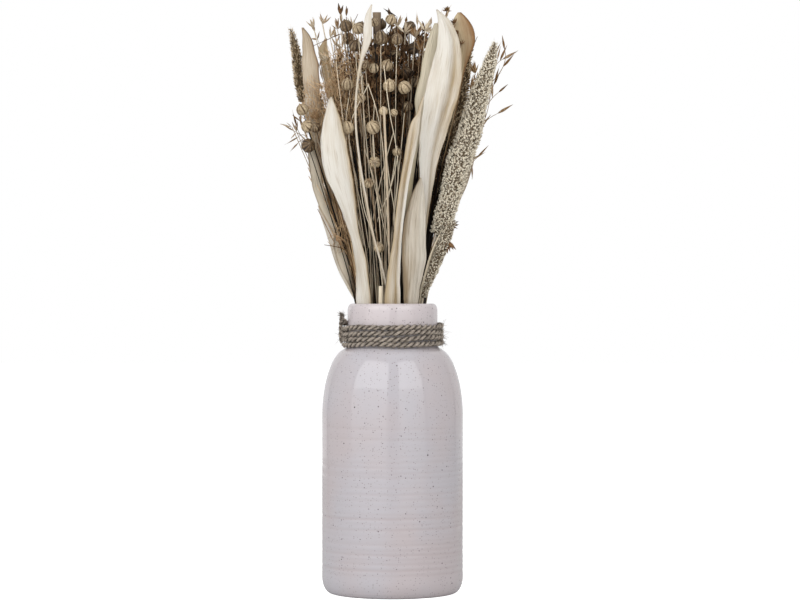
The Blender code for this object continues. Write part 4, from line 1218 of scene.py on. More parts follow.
FLAX = {
    "flax_front_left": (
        (-11.5, -8.6),
        (-25, -20),
        (
            (-31, -19, 380, 4.3),
            (-23, -22, 378, 4.0),
            (-25, -18, 367, 4.0),
            (-30, -20, 341, 4.0),
            (-30, -21, 312, 4.3),
            (-21, -18, 332, 3.3),
        ),
    ),
    "flax_front_middle": (
        (-6.4, -9.6),
        (-13, -21),
        (
            (-12, -22, 382, 3.0),
            (-8, -20, 372, 4.7),
            (-12.5, -16.5, 352, 3.3),
            (-18, -22, 354, 3.0),
            (-13, -25, 312, 4.7),
            (-12, -17, 289, 4.0),
            (-16, -20, 275, 3.3),
            (-9, -18, 232, 3.3),
        ),
    ),
    "flax_front_right": (
        (-0.9, -7.6),
        (2, -20),
        (
            (-1, -21, 384, 3.7),
            (3, -20, 371, 4.0),
            (-3.5, -16, 354, 4.2),
            (-2, -22, 340, 4.3),
            (8, -19, 339, 4.3),
            (3, -19, 296, 3.0),
            (1, -21, 322, 2.6),
            (-6, -23, 323, 3.0),
        ),
    ),
    "flax_middle_right": (
        (7.4, -5.2),
        (11, -6),
        (
            (11, -6, 381, 3.6),
            (14, -7, 366, 4.0),
            (9, -5, 350, 4.4),
            (10, -8, 327, 3.6),
            (2, -8, 362, 3.4),
            (15, -4, 344, 3.8),
        ),
    ),
    "flax_middle": (
        (2.0, -0.6),
        (-3, 6),
        (
            (-4, 5, 366, 3.6),
            (-11, 6, 361, 3.6),
            (-8, 7, 384, 3.8),
            (0, 7, 346, 4.0),
            (-9, 4, 336, 3.8),
            (3, 5, 378, 3.8),
        ),
    ),
    "flax_left": (
        (-20.3, -5.2),
        (-53, -22),
        (
            (-60, -22, 324, 4.0),
            (-57, -20, 313, 4.0),
            (-56, -22, 300, 4.7),
            (-51, -22, 312, 3.3),
        ),
    ),
    "flax_back_left": (
        (-9.0, 7.4),
        (-24, 25),
        (
            (-30, 24, 376, 4.2),
            (-22, 26, 384, 4.0),
            (-25, 24, 356, 4.0),
            (-34, 26, 348, 4.2),
            (-20, 27, 338, 4.2),
            (-28, 26, 322, 3.8),
        ),
    ),
    "flax_back_middle": (
        (-2.2, 8.4),
        (-5, 27),
        (
            (-9, 27, 386, 4.2),
            (0, 26, 376, 4.0),
            (-6, 30, 362, 4.2),
            (-12, 26, 346, 4.0),
            (2, 29, 344, 4.2),
            (-4, 31, 322, 4.2),
        ),
    ),
    "flax_back_right": (
        (5.6, 9.4),
        (16, 25),
        (
            (12, 24, 384, 4.0),
            (21, 26, 374, 4.2),
            (14, 27, 358, 4.2),
            (22, 23, 348, 4.0),
            (13, 26, 330, 4.0),
            (20, 28, 316, 3.8),
        ),
    ),
}

for seed, (name, (foothold, lean, pods)) in enumerate(FLAX.items()):
    nod = 0.5 if lean[1] > 12 else -0.5
    # Pods of the three front sprays are paler than the others: painted light at the front, painted shade
    # behind.
    tone = 0.75 if lean[1] > -10 or name == "flax_left" else 0.42
    stems, capsules = flax_spray(foothold, lean, pods, nod, tone, seed + 40)
    piece(name + "_stems", stems, straw, "flax", name)
    piece(name + "_pods", capsules, capsule, "flax")


# The foxtails: dense grass heads on thin stalks, each a core packed with small pointed spikelets and stiff
# bristles. The big one at the right, the low one and the two at the back are grey-beige, the others brown.

GOLDEN_ANGLE = 2.39996
HEAD_ROWS = 80


def foxtail_line(stations, foothold):
    """The stalk's line from the vase's floor to the head, and the head's own: x, y, height and radius."""
    head = smooth(stations, HEAD_ROWS)[::-1]
    low = head[0]
    stalk = 0.9
    half_way = (*((a + b) / 2 for a, b in zip((*foothold, NECK_ENTRY), low)), stalk)
    straight = [(*foothold, height, stalk) for height in (STEM_FOOT, STALK_HIGH, NECK_ENTRY)]
    return smooth([*straight, half_way, (low[0], low[1], low[2] + 1, stalk)], 30), head


def foxtail(stations, foothold, grains, bristles, grain_size, bristle_length, seed, dark=0.0, shade=0.2):
    """A stalk, a core at seven tenths of the head's radius, spikelets that lean out and up, and bristles.

    Spikelets are spread evenly over the head's surface: their share along it follows the sum of its radii,
    and each turns past the last by the golden angle, with a little chance in both. grain_size is length and
    width."""
    rng = np.random.default_rng(seed)
    lower, head = foxtail_line(stations, foothold)
    stalk = tubes(lower[None, :, :3], lower[None, :, 3:4], 6, 0.5)
    bumps = 0.72 + 0.06 * np.sin(np.arange(HEAD_ROWS)[:, None] * 1.9 + np.arange(12) * 1.3)
    # The core's tone of 1.1 paints it dark as the shade between the spikelets.
    core = tubes(head[None, :, :3], (head[:, 3:4] * bumps)[None], 12, 1.1, across=TO_THE_RIGHT)
    reach = np.cumsum(head[:, 3] + 0.6)
    reach = (reach - reach[0]) / (reach[-1] - reach[0])

    def spread(count):
        """Evenly spread places on the head, with the way out and the way along it at each."""
        at = np.interp((np.arange(count) + rng.uniform(0, 1, count)) / count, reach, np.arange(HEAD_ROWS))
        at = at.clip(0, HEAD_ROWS - 1.01)
        low = at.astype(int)
        part = (at - low)[:, None]
        here = head[low] * (1 - part) + head[low + 1] * part
        ahead = unit(head[low + 1, :3] - head[low, :3])
        turn = np.arange(count) * GOLDEN_ANGLE + rng.normal(0, 0.25, count)
        side = unit(np.cross(ahead, np.array([0.0, 1.0, 0.0])))
        other = np.cross(side, ahead)
        out = side * np.cos(turn)[:, None] + other * np.sin(turn)[:, None]
        return here, out, ahead

    here, out, ahead = spread(grains)
    size = rng.uniform(0.8, 1.15, grains)[:, None] * np.clip(here[:, 3:4] / 4, 0.7, 1)
    places = here[:, :3] + out * here[:, 3:4] * rng.uniform(0.62, 0.84, (grains, 1))
    ways = out * 1.0 + ahead * 0.65 + rng.normal(0, 0.2, (grains, 3))
    # Spikelets picked by the share shade get a tone of 1.25: painted shade.
    spikelets = copies(
        husk(3, 4, 0.5),
        places,
        ways,
        size * np.array([grain_size[1], grain_size[1], grain_size[0]]),
        np.where(rng.uniform(0, 1, grains) < shade, 1.25, rng.uniform(0.1, 0.8, grains)) + dark,
        rng.uniform(0, 6, grains),
        -0.35,
    )
    here, out, ahead = spread(bristles)
    root = here[:, :3] + out * here[:, 3:4] * 0.7
    long = rng.uniform(0.5, 1.0, bristles)[:, None] * bristle_length
    way = unit(out * 0.8 + ahead * 1.1 + rng.normal(0, 0.25, (bristles, 3)))
    lines = bowed(root, long * way, long * 0.25 * ahead, 3)
    hairs = strands(lines, (0.12, 0.09, 0.03), 3, rng.uniform(0, 0.6, bristles) + dark)
    return joined(stalk, core, spikelets, hairs)


# Grass spikelets: matt, paler at their tips, over a core painted dark as the shade between them; some
# spikelets are painted dark as shade too, and the colour also drifts along the head.

SPIKELET_SKIN = dict(
    roughness=0.85,
    ior=1.45,
    cell=2.0,
    detail=2.0,
    drift=(0.7, -0.35),
    dark=(0.95, 1.25),
    even=True,
)
grey_foxtail = plant_finish("dried grey foxtail", ("E8DFCC", "8E7D64", "2A2017"), **SPIKELET_SKIN)
brown_foxtail = plant_finish("dried brown foxtail", ("D0BB9B", "75603F", "1D130B"), **SPIKELET_SKIN)

FOXTAILS = {
    "foxtail_big": (
        grey_foxtail,
        "foxtail",
        (16.6, -5.8),
        dict(
            grains=3900,
            bristles=1300,
            grain_size=(2.0, 0.72),
            bristle_length=4.4,
            seed=21,
            dark=-0.28,
            shade=0.16,
        ),
        (
            (68.5, -18, 369, 0.7),
            (67, -18, 363, 2.6),
            (61.5, -18, 344, 5.2),
            (57, -18, 331, 7.3),
            (50, -18, 304, 8.7),
            (45, -18, 291, 9.3),
            (38, -16.5, 264, 7.3),
            (34, -15, 251, 7.0),
            (30, -13, 241, 5.0),
        ),
    ),
    "foxtail_dark": (
        brown_foxtail,
        "brown_twig",
        (20.4, 2.2),
        dict(
            grains=1600,
            bristles=900,
            grain_size=(2.3, 0.6),
            bristle_length=5.2,
            seed=22,
            dark=-0.05,
            shade=0.3,
        ),
        (
            (49.5, 1, 381, 0.6),
            (49, 1, 376, 3.0),
            (47, 1, 342, 4.4),
            (42, 1, 312, 4.7),
            (37, 1, 292, 4.7),
            (32, 1, 270, 4.4),
            (27, 1, 251, 2.6),
        ),
    ),
    "foxtail_low_right": (
        grey_foxtail,
        "foxtail",
        (19.2, -10.4),
        dict(grains=1100, bristles=300, grain_size=(2.2, 0.62), bristle_length=2.8, seed=23, shade=0.25),
        (
            (41, -23, 250, 0.6),
            (38, -22.5, 244, 2.6),
            (30, -18, 224, 3.4),
            (22.6, -13, 207, 3.0),
            (20.2, -11.2, 199, 2.0),
        ),
    ),
    "foxtail_left": (
        brown_foxtail,
        "brown_twig",
        (-20.6, 6.6),
        dict(grains=460, bristles=420, grain_size=(2.9, 0.6), bristle_length=3.8, seed=24, shade=0.35),
        (
            (-69, 3, 380, 0.5),
            (-67.5, 3, 375, 1.4),
            (-65.5, 3, 366, 2.5),
            (-64, 3, 354, 3.0),
            (-62.5, 3, 341, 2.9),
            (-61, 3, 331, 1.8),
        ),
    ),
    "foxtail_back_left": (
        grey_foxtail,
        "foxtail",
        (-16.6, 15.6),
        dict(grains=1350, bristles=350, grain_size=(2.4, 0.88), bristle_length=3.6, seed=25),
        (
            (-58, 30, 352, 0.6),
            (-56.5, 30, 346, 2.6),
            (-51, 29, 322, 5.4),
            (-45, 28, 298, 6.6),
            (-39, 26, 276, 6.2),
            (-33, 24, 256, 3.6),
        ),
    ),
    "foxtail_back_right": (
        grey_foxtail,
        "foxtail",
        (12.6, 17.6),
        dict(grains=1350, bristles=350, grain_size=(2.4, 0.88), bristle_length=3.6, seed=26),
        (
            (46, 34, 366, 0.6),
            (45, 34, 360, 2.8),
            (41, 34, 334, 5.6),
            (36, 33, 308, 6.6),
            (30, 31, 284, 6.0),
            (25, 29, 262, 3.4),
        ),
    ),
}

for name, (finish, slot, foothold, form, stations) in FOXTAILS.items():
    piece(name + "_spikelets", foxtail(stations, foothold, **form), finish, slot, name)


# The oats and the brown twiggy sprays: thin stems whose side twigs carry pointed husks, each with a fine awn.
# They fill the edges of the bouquet, pale at the outside and dark brown among the pods.

HUSK_STEM_RADIUS = 0.55


def husk_spray(foothold, points, twigs, husk_size, seed, more=2, tone=0.4, headings=None):
    """A stem through its points, twigs that bow up from it, and husks at the twigs' ends and along them.

    A twig's point is (1 - t) squared * root + 2 t (1 - t) * bend + t squared * tip, with the bend raised
    above the middle by an eighth of its length, or set so that the twig ends in its heading, given as x and
    z."""
    rng = np.random.default_rng(seed)
    line = smooth([*((*foothold, height) for height in (STEM_FOOT, STALK_LOW, NECK_ENTRY)), *points], 70)
    stem = strands(line[None], np.linspace(HUSK_STEM_RADIUS, 0.3, 70), 5, tone)
    starts = np.array([twig[0] for twig in twigs])
    tips = np.array([twig[1:] for twig in twigs], float)
    roots = line[np.rint(starts * 69).astype(int)]
    reach = np.linalg.norm(tips - roots, axis=1, keepdims=True)
    bends = (roots + tips) / 2 + np.array([0, 0, 0.12]) * reach
    if headings is not None:
        bends = tips - 0.45 * reach * unit(np.array([(x, 0.0, z) for x, z in headings]))
    step = np.linspace(0, 1, 12)[:, None, None]
    lines = ((1 - step) ** 2 * roots + 2 * step * (1 - step) * bends + step**2 * tips).transpose(1, 0, 2)
    count = len(twigs)
    twig_tubes = strands(lines, np.linspace(0.3, 0.18, 12), 4, tone)
    end_places = np.concatenate([lines[:, -1], line[-1:]])
    end_ways = np.concatenate([lines[:, -1] - lines[:, -3], (line[-1] - line[-4])[None]])
    picks = rng.integers(4, 11, (count, more))
    side_places = lines[np.arange(count)[:, None], picks].reshape(-1, 3)
    side_ways = unit((lines[:, -1] - lines[:, 0]))[:, None] + rng.normal(0, 0.55, (count, more, 3))
    places = np.concatenate([end_places, side_places])
    ways = np.concatenate([end_ways, side_ways.reshape(-1, 3)])
    total = len(places)
    length, width = husk_size
    size = flattened(rng.uniform(0.75, 1.2, total), width, length)
    husk_tones = rng.uniform(-0.1, 0.5, total) + tone
    husks = copies(husk(7, 8, 0.38), places, ways, size, husk_tones, rng.uniform(0, 6, total), 0.25)
    tips_at = places + unit(ways) * size[:, 2:3] * 0.9
    awn_run = unit(ways) * rng.uniform(0.5, 3.5, total)[:, None]
    awns = strands(bowed(tips_at, awn_run, rng.normal(0, 0.4, (total, 3)), 3), (0.12, 0.08, 0.04), 3, tone)
    return joined(stem, twig_tubes, husks, awns)


HUSKS = {
    "oats_left": (
        "oat",
        (-17.6, 10.6),
        ((-36, 11, 250), (-52, 11, 290), (-60, 11, 312)),
        (
            (0.97, -67, 11, 312),
            (0.93, -64, 12, 308),
            (0.97, -65, 10, 315),
            (0.9, -61, 12, 304),
            (0.95, -64, 11, 304),
        ),
        dict(
            husk_size=(9.5, 0.85),
            seed=11,
            more=0,
            tone=0.75,
            headings=((-0.9, 0.45), (-0.7, -0.7), (-0.2, 1.0), (0.3, -0.9), (-0.5, -0.9)),
        ),
    ),
    "oats_top_left": (
        "oat",
        (-13.4, 13.6),
        ((-26, 17, 270), (-38, 18, 335), (-48, 18, 386)),
        (
            (0.8, -53, 18, 380),
            (0.7, -46, 17, 362),
            (0.75, -39, 19, 376),
            (0.7, -35, 18, 362),
            (0.6, -48, 18, 340),
            (0.8, -35, 18, 386),
        ),
        dict(husk_size=(7.5, 1.1), seed=12, more=7, tone=0.3),
    ),
    "oats_top_right": (
        "oat",
        (12.2, 7.6),
        ((18, 10, 270), (23, 12, 335), (26, 12, 384)),
        (
            (0.8, 17, 12, 384),
            (0.7, 20, 11, 366),
            (0.8, 32, 12, 386),
            (0.75, 33, 13, 372),
            (0.65, 30, 12, 352),
            (0.9, 37, 12, 391),
        ),
        dict(husk_size=(7.5, 1.2), seed=13, more=8, tone=0.35),
    ),
    "oats_right": (
        "oat",
        (21.2, 7.6),
        ((40, 9, 262), (57, 9, 310), (66, 9, 340), (71, 9, 360)),
        (
            (0.96, 76, 9, 367),
            (0.97, 74.5, 9, 360.3),
            (0.88, 71.6, 9, 337.7),
            (0.8, 71, 9, 323.5),
            (0.68, 57, 9, 293.3),
            (0.7, 54, 9, 288),
            (0.95, 69, 9, 363),
            (0.86, 69.5, 8, 346),
            (0.82, 66.5, 8, 337),
            (0.72, 56, 8, 302),
        ),
        dict(
            husk_size=(11.0, 1.0),
            seed=14,
            more=1,
            tone=0.7,
            headings=(
                (-0.3, 1.0),
                (1.0, 0.4),
                (0.8, 0.6),
                (0.9, 0.4),
                (0.7, 0.65),
                (-0.1, -1.0),
                (0.5, 0.8),
                (0.3, 1.0),
                (0.1, 1.0),
                (0.4, 0.9),
            ),
        ),
    ),
    "twigs_brown_left": (
        "brown_twig",
        (-14.6, 7.4),
        ((-30, 11, 262), (-40, 12, 300), (-47, 12, 330)),
        (
            (0.7, -55, 12, 316),
            (0.75, -57, 12, 326),
            (0.8, -55, 12, 336),
            (0.85, -50, 12, 338),
            (0.8, -43, 12, 334),
            (0.85, -52, 13, 328),
        ),
        dict(husk_size=(4.2, 1.1), seed=15, more=9, tone=1.0),
    ),
    "twigs_brown_middle": (
        "brown_twig",
        (-10.4, 1.0),
        ((-18, -2, 262), (-26, -5, 318), (-31, -6, 356)),
        (
            (0.7, -34, -5, 326),
            (0.75, -24, -6, 334),
            (0.8, -37, -6, 344),
            (0.85, -25, -7, 350),
            (0.9, -36, -6, 360),
            (0.85, -28, -4, 364),
        ),
        dict(husk_size=(4.2, 1.2), seed=16, more=10, tone=1.2),
    ),
    "plume_brown": (
        "brown_twig",
        (6.8, 2.2),
        ((5, 9, 262), (4, 14, 330), (3, 15, 380)),
        (
            (0.9, -2, 15, 391),
            (0.85, 8, 15, 378),
            (0.9, 9, 14, 386),
            (0.8, 10, 15, 368),
            (0.85, -1, 15, 376),
        ),
        dict(husk_size=(4.8, 1.2), seed=17, more=10, tone=1.2),
    ),
    "oats_back": (
        "oat",
        (-3.6, 15.6),
        ((-10, 30, 262), (-14, 40, 320), (-16, 44, 372)),
        (
            (0.85, -22, 46, 366),
            (0.8, -9, 46, 358),
            (0.75, -20, 43, 346),
            (0.7, -8, 42, 336),
            (0.9, -11, 45, 378),
        ),
        dict(husk_size=(6.0, 0.9), seed=18, tone=0.6),
    ),
}

for name, (slot, foothold, points, twigs, form) in HUSKS.items():
    piece(name + "_husks", husk_spray(foothold, points, twigs, **form), straw, slot, name)


# Loose straw: the thin stems that the other plants leave between them, pale at the front and painted near
# black as shade further in, with narrow dark grass blades among them. They stand on the vase's floor and
# fan out from the neck as the rest do.

BROWN_STRAWS = 210
DARK_STRAWS = 190
BACK_STRAWS = 90
NECK_INSIDE = 21.0
FAN_HEIGHT = 200


def upright(start, *heights):
    """The places straight above each start at the heights, as starts x heights x 3."""
    flat = np.repeat(start[:, None], len(heights), axis=1)
    rise = np.broadcast_to(np.array(heights)[None, :, None], (len(start), len(heights), 1))
    return np.concatenate([flat, rise], axis=-1)


def fan(rng, count, near, far, low, high, widen, sway):
    """Lines that rise from the floor inside the neck and fan out with the rise to the power 1.3.

    near and far are the y of the front and the back row in the neck; widen is how far a line moves out in x
    and y, for each millimetre that it stands off the middle in the neck, by FAN_HEIGHT above it."""
    start = np.stack([rng.uniform(-1, 1, count), rng.uniform(near, far, count)], axis=1)
    start[:, 0] *= np.sqrt(np.clip(NECK_INSIDE**2 - start[:, 1] ** 2, 0, None))
    top = rng.uniform(low, high, count)
    share = np.linspace(0, 1, 20)
    heights = NECK_ENTRY + (top[:, None] - NECK_ENTRY) * share
    rise = (heights - NECK_ENTRY) / FAN_HEIGHT
    drift = start * np.array(widen) + rng.normal(0, sway, (count, 2))
    spread = start[:, None] + drift[:, None] * (rise**1.3)[..., None]
    spread = spread + (np.sin(heights / 23 + rng.uniform(0, 6, (count, 1))) * 0.8 * share)[..., None]
    upper = np.concatenate([spread, heights[..., None]], axis=-1)
    return np.concatenate([upright(start, STEM_FOOT, STALK_LOW, STALK_HIGH), upper], axis=1)


rng = np.random.default_rng(31)
brown_lines = fan(rng, BROWN_STRAWS, -12, 18, 250, 374, (1.05, 0.9), 8)
dark_lines = fan(rng, DARK_STRAWS, -8, 16, 240, 350, (1.0, 0.9), 6)
back_lines = fan(rng, BACK_STRAWS, 6, 20, 260, 376, (1.0, 0.9), 8)
taper = np.concatenate([np.full(5, 0.40), np.linspace(0.40, 0.2, 18)])
# A fifth of the brown straws are pale; the rest, and all the dark straws, are near black: painted shade.
is_pale = rng.uniform(0, 1, BROWN_STRAWS) < 0.2
pale_tones = rng.uniform(0.3, 1.1, BROWN_STRAWS)
pale_and_shade_tones = np.where(is_pale, pale_tones, rng.uniform(1.9, 2.6, BROWN_STRAWS))
piece(
    "loose_straw",
    joined(
        strands(brown_lines, taper, 4, pale_and_shade_tones),
        strands(dark_lines, taper * 1.5, 3, rng.uniform(1.9, 2.6, DARK_STRAWS)),
        strands(back_lines, taper, 3, rng.uniform(0.2, 1.1, BACK_STRAWS)),
    ),
    straw,
    "flax",
)

# Pale straws in front of the brown ones: most cross each other between the two big leaves, and three lean
# right. Each line gives x, y and height from the rim up; below, it runs straight down to the floor inside.
PALE_STRAWS = (
    (
        (-5.2, -10, 199),
        (-4.4, -13, 246),
        (-5.6, -20, 290),
        (-8.3, -23, 313),
        (-11.6, -25, 327),
        (-16.3, -26, 341),
    ),
    ((-3.2, -9, 199), (-0.4, -13, 240), (3.6, -20, 290), (1.7, -23, 304), (-1.0, -24, 317), (-5.7, -26, 353)),
    ((-16.0, -9, 199), (-21.6, -12, 246), (-27.0, -16, 263), (-33.1, -20, 318), (-37.6, -22, 356)),
    ((-14.9, -7, 199), (-25.0, -11, 263), (-31.0, -16, 318), (-28.3, -18, 338)),
    ((-13.6, -8, 199), (-21.0, -11, 263), (-27.1, -18, 318), (-23.0, -20, 327), (-16.3, -22, 340)),
    ((-6.5, -12, 205), (-11.7, -15, 237), (-18.4, -20, 256), (-23.0, -22, 297)),
    ((-4.4, -11, 204), (-4.3, -13, 237), (-7.0, -17, 252), (-15.0, -21, 286)),
    ((-3.2, -13, 204), (1.0, -17, 259), (-1.7, -20, 275), (-4.3, -21, 297)),
    ((-13.4, -10, 204), (-11.0, -13, 247), (-0.3, -20, 275), (3.7, -21, 293)),
    ((-5.0, -9, 204), (-5.4, -14, 240), (-5.0, -17, 262), (-5.4, -19, 282)),
    ((-5.0, -8, 204), (-5.0, -13, 238), (-3.6, -16, 260), (-0.3, -18, 277), (3.0, -18, 300)),
    (
        (-2.0, -10, 204),
        (-2.4, -14, 230),
        (-5.0, -16, 249),
        (-9.0, -18, 267),
        (-13.0, -19, 280),
        (-19.0, -20, 300),
    ),
    ((-10.0, -8, 204), (-11.4, -12, 230), (-15.6, -15, 249), (-19.0, -17, 266), (-23.0, -18, 290)),
    ((-14.4, -6, 204), (-15.7, -12, 230), (-18.4, -15, 249), (-24.4, -18, 276), (-28.0, -18, 300)),
    ((-1.0, -7, 204), (0.3, -14, 249), (3.0, -17, 272), (6.0, -18, 300), (8.0, -18, 322)),
    ((-8.0, -8, 204), (-13.0, -13, 249), (-9.0, -17, 272), (-4.0, -19, 292), (1.0, -19, 310)),
    ((-11.0, -7, 204), (-8.0, -12, 235), (-9.0, -16, 262), (-13.0, -19, 300), (-12.0, -21, 330)),
    ((18.6, -13, 200), (22.2, -21, 216), (26.4, -24, 230), (31.0, -25, 240)),
    ((19.2, -12, 200), (23.4, -20, 218), (27.6, -23, 232), (31.6, -24, 241)),
    ((17.8, -12, 200), (21.4, -20, 214), (25.4, -23, 228), (30.2, -24, 238)),
)
pale_lines = np.array(
    [smooth([(*line[0][:2], STEM_FOOT), (*line[0][:2], STALK_HIGH), *line], 60) for line in PALE_STRAWS]
)

# Seed heads among them, each given by x, y, height and tone.
SEED_HEADS = (
    (-12.2, -23, 288, 0.3),
    (-15.0, -23, 275.5, 0.4),
    (-9.6, -20, 233, 0.15),
    (36.0, -31, 388.6, 1.1),
)


def tuft(centre, ahead, spread, count, length, width, tone, rng):
    """Husks that radiate from one place about a direction, each turned off it by chance as spread allows."""
    ways = unit(np.asarray(ahead, float)) + rng.normal(0, spread, (count, 3))
    sizes = flattened(rng.uniform(0.7, 1.15, count), width, length)
    places = np.asarray(centre, float) + unit(ways) * 0.3
    tones = tone + rng.uniform(-0.2, 0.3, count)
    return copies(husk(5, 5, 0.45), places, ways, sizes, tones, rng.uniform(0, 6, count), 0.3)


def leaning_fan(rng, count, base, spread, top, top_spread):
    """Stems from round a place in the neck to round a place at the top, bowed as a power of their rise.

    base is x and y, top is x, y and height; spread and top_spread say how far either may be off."""
    start = np.array(base) + rng.uniform(-1, 1, (count, 2)) * np.array(spread)
    goal = np.array(top) + rng.uniform(-1, 1, (count, 3)) * np.array(top_spread)
    share = np.linspace(0, 1, 22)[None, :, None]
    flat = start[:, None] + (goal[:, None, :2] - start[:, None]) * share**1.25
    heights = NECK_ENTRY + (goal[:, None, 2:] - NECK_ENTRY) * share
    sway = np.sin(heights / 17 + rng.uniform(0, 6, (count, 1, 1))) * 1.4 * share * (1 - share)
    upper = np.concatenate([flat + sway, heights], axis=-1)
    return np.concatenate([upright(start, STEM_FOOT, STALK_HIGH), upper], axis=1)


def stem_to(place, tone, radius, rng):
    """One stem from the vase's floor to a place above the neck, leaning out as far as the place asks."""
    base = np.array(place[:2]) * 0.34
    return tubes(leaning_fan(rng, 1, base, (0, 0), place, (0, 0, 0)), radius, 4, tone)


seed_heads = []
for x, y, z, tone in SEED_HEADS:
    seed_heads.append(tuft((x, y, z), (0, -0.5, 1), 0.6, 34, 2.9, 0.42, tone, rng))
    seed_heads.append(stem_to((x, y, z), tone + 0.4, 0.3, rng))
piece(
    "pale_straw",
    joined(
        strands(pale_lines, np.linspace(0.44, 0.3, 60), 6, rng.uniform(0.0, 0.35, len(PALE_STRAWS))),
        *seed_heads,
    ),
    straw,
    "flax",
)

# Grass blades: narrow leaves that close the heart of the bouquet, coloured nearly black as painted shade.

dark_leaf = leaf_finish("near-black leaf of painted shade", "2E2116", "120B06", "0C0703")
blades = []
for seed, line in enumerate(fan(rng, 120, -4, 16, 262, 364, (1.0, 0.9), 5)):
    picked = line[[22, 18, 13, 9, 6, 3]]
    widths = (0.3, 1.9, 2.8, 2.8, 2.0, 1.2)
    turned = rng.uniform(-30, 30)
    blade_stations = [(z, x, y, half, turned, half * 0.3) for (x, y, z), half in zip(picked, widths)]
    blades.append(leaf(blade_stations, rows=18, columns=2, stalk=0.5, tone=rng.uniform(0.2, 1.0), seed=seed))
piece("grass_blades_painted_shade", joined(*blades), dark_leaf, "brown_twig")


# The brown panicles: feathery grass heads between the pods, golden at the left and nearly black at the
# right, where the near black is painted shade.
# Each is a thin stem whose upper half carries short bowed twigs, with a small pointed floret at each tip and
# one a third of the way along. Bare stems of the same grass close the two sides.


def panicles(lines, branches, reach, floret_length, floret_width, tones, rng):
    """Panicles on stems: the stems, their twigs and their florets.

    A twig starts at a chance place in the stem's upper part and runs out and up; its point is the start plus
    its way times t, bowed up by t squared. Twigs near the top are shorter. A floret sits at the tip and one
    a third of the way along."""
    count, rows, _ = lines.shape
    owner = np.repeat(np.arange(count), branches)
    part = rng.uniform(0.0, 1.0, len(owner)) ** 0.85
    row = (rows * (0.55 + 0.44 * part)).astype(int).clip(0, rows - 1)
    start = lines[owner, row]
    turn = rng.uniform(0, 2 * math.pi, len(owner))
    out = np.stack([np.cos(turn), np.sin(turn), np.zeros(len(owner))], axis=1)
    long = (reach * (1.15 - 0.75 * part) * rng.uniform(0.5, 1.2, len(owner)))[:, None]
    way = out * 0.62 + np.array([0, 0, 0.62])
    bend = np.array([0, 0, 0.35]) + rng.normal(0, 0.16, (len(owner), 3))
    twigs = bowed(start, long * way, long * bend, 4)
    tone = tones[owner]
    ends = np.concatenate([twigs[:, -1], twigs[:, 1]])
    ways = np.concatenate([twigs[:, -1] - twigs[:, -2], out * 0.6 + np.array([0, 0, 0.8])])
    ways = unit(ways) + rng.normal(0, 0.25, ways.shape)
    total = len(ends)
    sizes = flattened(rng.uniform(0.6, 1.25, total), floret_width, floret_length)
    floret_tones = np.tile(tone, 2) + rng.uniform(-0.25, 0.35, total)
    florets = copies(husk(3, 4, 0.4), ends, ways, sizes, floret_tones, rng.uniform(0, 6, total), 0.2)
    return joined(
        strands(lines, np.linspace(0.34, 0.16, rows), 3, tones),
        strands(twigs, np.linspace(0.17, 0.08, 4), 3, tone),
        florets,
    )


# Dried panicle grass: matt, golden to red-brown; past a tone of 1 it runs to nearly black, painted shade
# among the pods.

panicle = plant_finish(
    "dried panicle grass",
    ("D9BA92", "7C5C3E", "1C120A"),
    roughness=0.85,
    ior=1.3,
    cell=4.0,
    detail=2.0,
    drift=(0.8, -0.4),
    dark=(1.0, 2.0),
)

golden_lines = leaning_fan(rng, 26, (-11, 0), (5, 6), (-31, -6, 352), (10, 7, 22))
brown_middle = leaning_fan(rng, 28, (-3, 0), (7, 6), (-8, -6, 362), (13, 8, 18))
dark_right = leaning_fan(rng, 34, (5, 2), (5, 6), (11, 0, 356), (12, 9, 24))
behind = leaning_fan(rng, 22, (0, 10), (12, 5), (0, 20, 358), (30, 9, 22))
left_lines = leaning_fan(rng, 50, (-18, -2), (5, 7), (-42, -8, 290), (9, 7, 32))
outer_lines = leaning_fan(rng, 16, (-19, -1), (3, 5), (-53, -6, 292), (4, 4, 18))
right_lines = leaning_fan(rng, 46, (12, -2), (7, 7), (27, -8, 300), (12, 6, 40))
piece(
    "panicles_golden",
    joined(
        panicles(golden_lines, 26, 9.0, 3.6, 0.62, rng.uniform(-0.1, 0.7, len(golden_lines)), rng),
        panicles(brown_middle, 26, 8.0, 4.2, 0.95, rng.uniform(0.5, 1.35, len(brown_middle)), rng),
    ),
    panicle,
    "brown_twig",
)
side_lines = np.concatenate([left_lines, outer_lines, right_lines])
left_tones = rng.uniform(-0.3, 1.2, len(left_lines) + len(outer_lines))
# The bare stems at the right are near black: painted shade.
side_tones = np.concatenate([left_tones, rng.uniform(1.4, 2.4, len(right_lines))])
piece(
    "panicles_dark",
    joined(
        panicles(dark_right, 26, 8.0, 4.6, 1.15, rng.uniform(0.8, 1.7, len(dark_right)), rng),
        panicles(behind, 24, 9.0, 5.2, 1.3, rng.uniform(0.5, 1.5, len(behind)), rng),
        strands(side_lines, np.linspace(0.5, 0.25, 24), 3, side_tones),
    ),
    panicle,
    "brown_twig",
)

# Curled fibres 0.3 mm thick, caught among the golden panicles, on the far left leaf and low at the left, and
# tufts of dry florets on stems of their own. A tuft gives its centre, its direction, and its spread, count,
# length, width and tone.


def curls(rng, centre, reach, count, length, tone):
    """Thin bowed fibres round a place: a way of chance, mostly upward, plus a bend as t squared."""
    start = np.array(centre) + rng.uniform(-1, 1, (count, 3)) * np.array(reach)
    way = unit(rng.normal(0, 0.6, (count, 3)) + np.array([-0.1, 0, 0.8]))
    long = (length * rng.uniform(0.4, 1.2, count))[:, None]
    bend = rng.normal(0, 0.45, (count, 3))
    step = np.linspace(0, 1, 6)[:, None, None]
    lines = (start + (step - 0.5) * long * way + (step - 0.5) ** 2 * long * bend).transpose(1, 0, 2)
    return strands(lines, 0.15, 3, tone + rng.uniform(-0.4, 0.4, count))


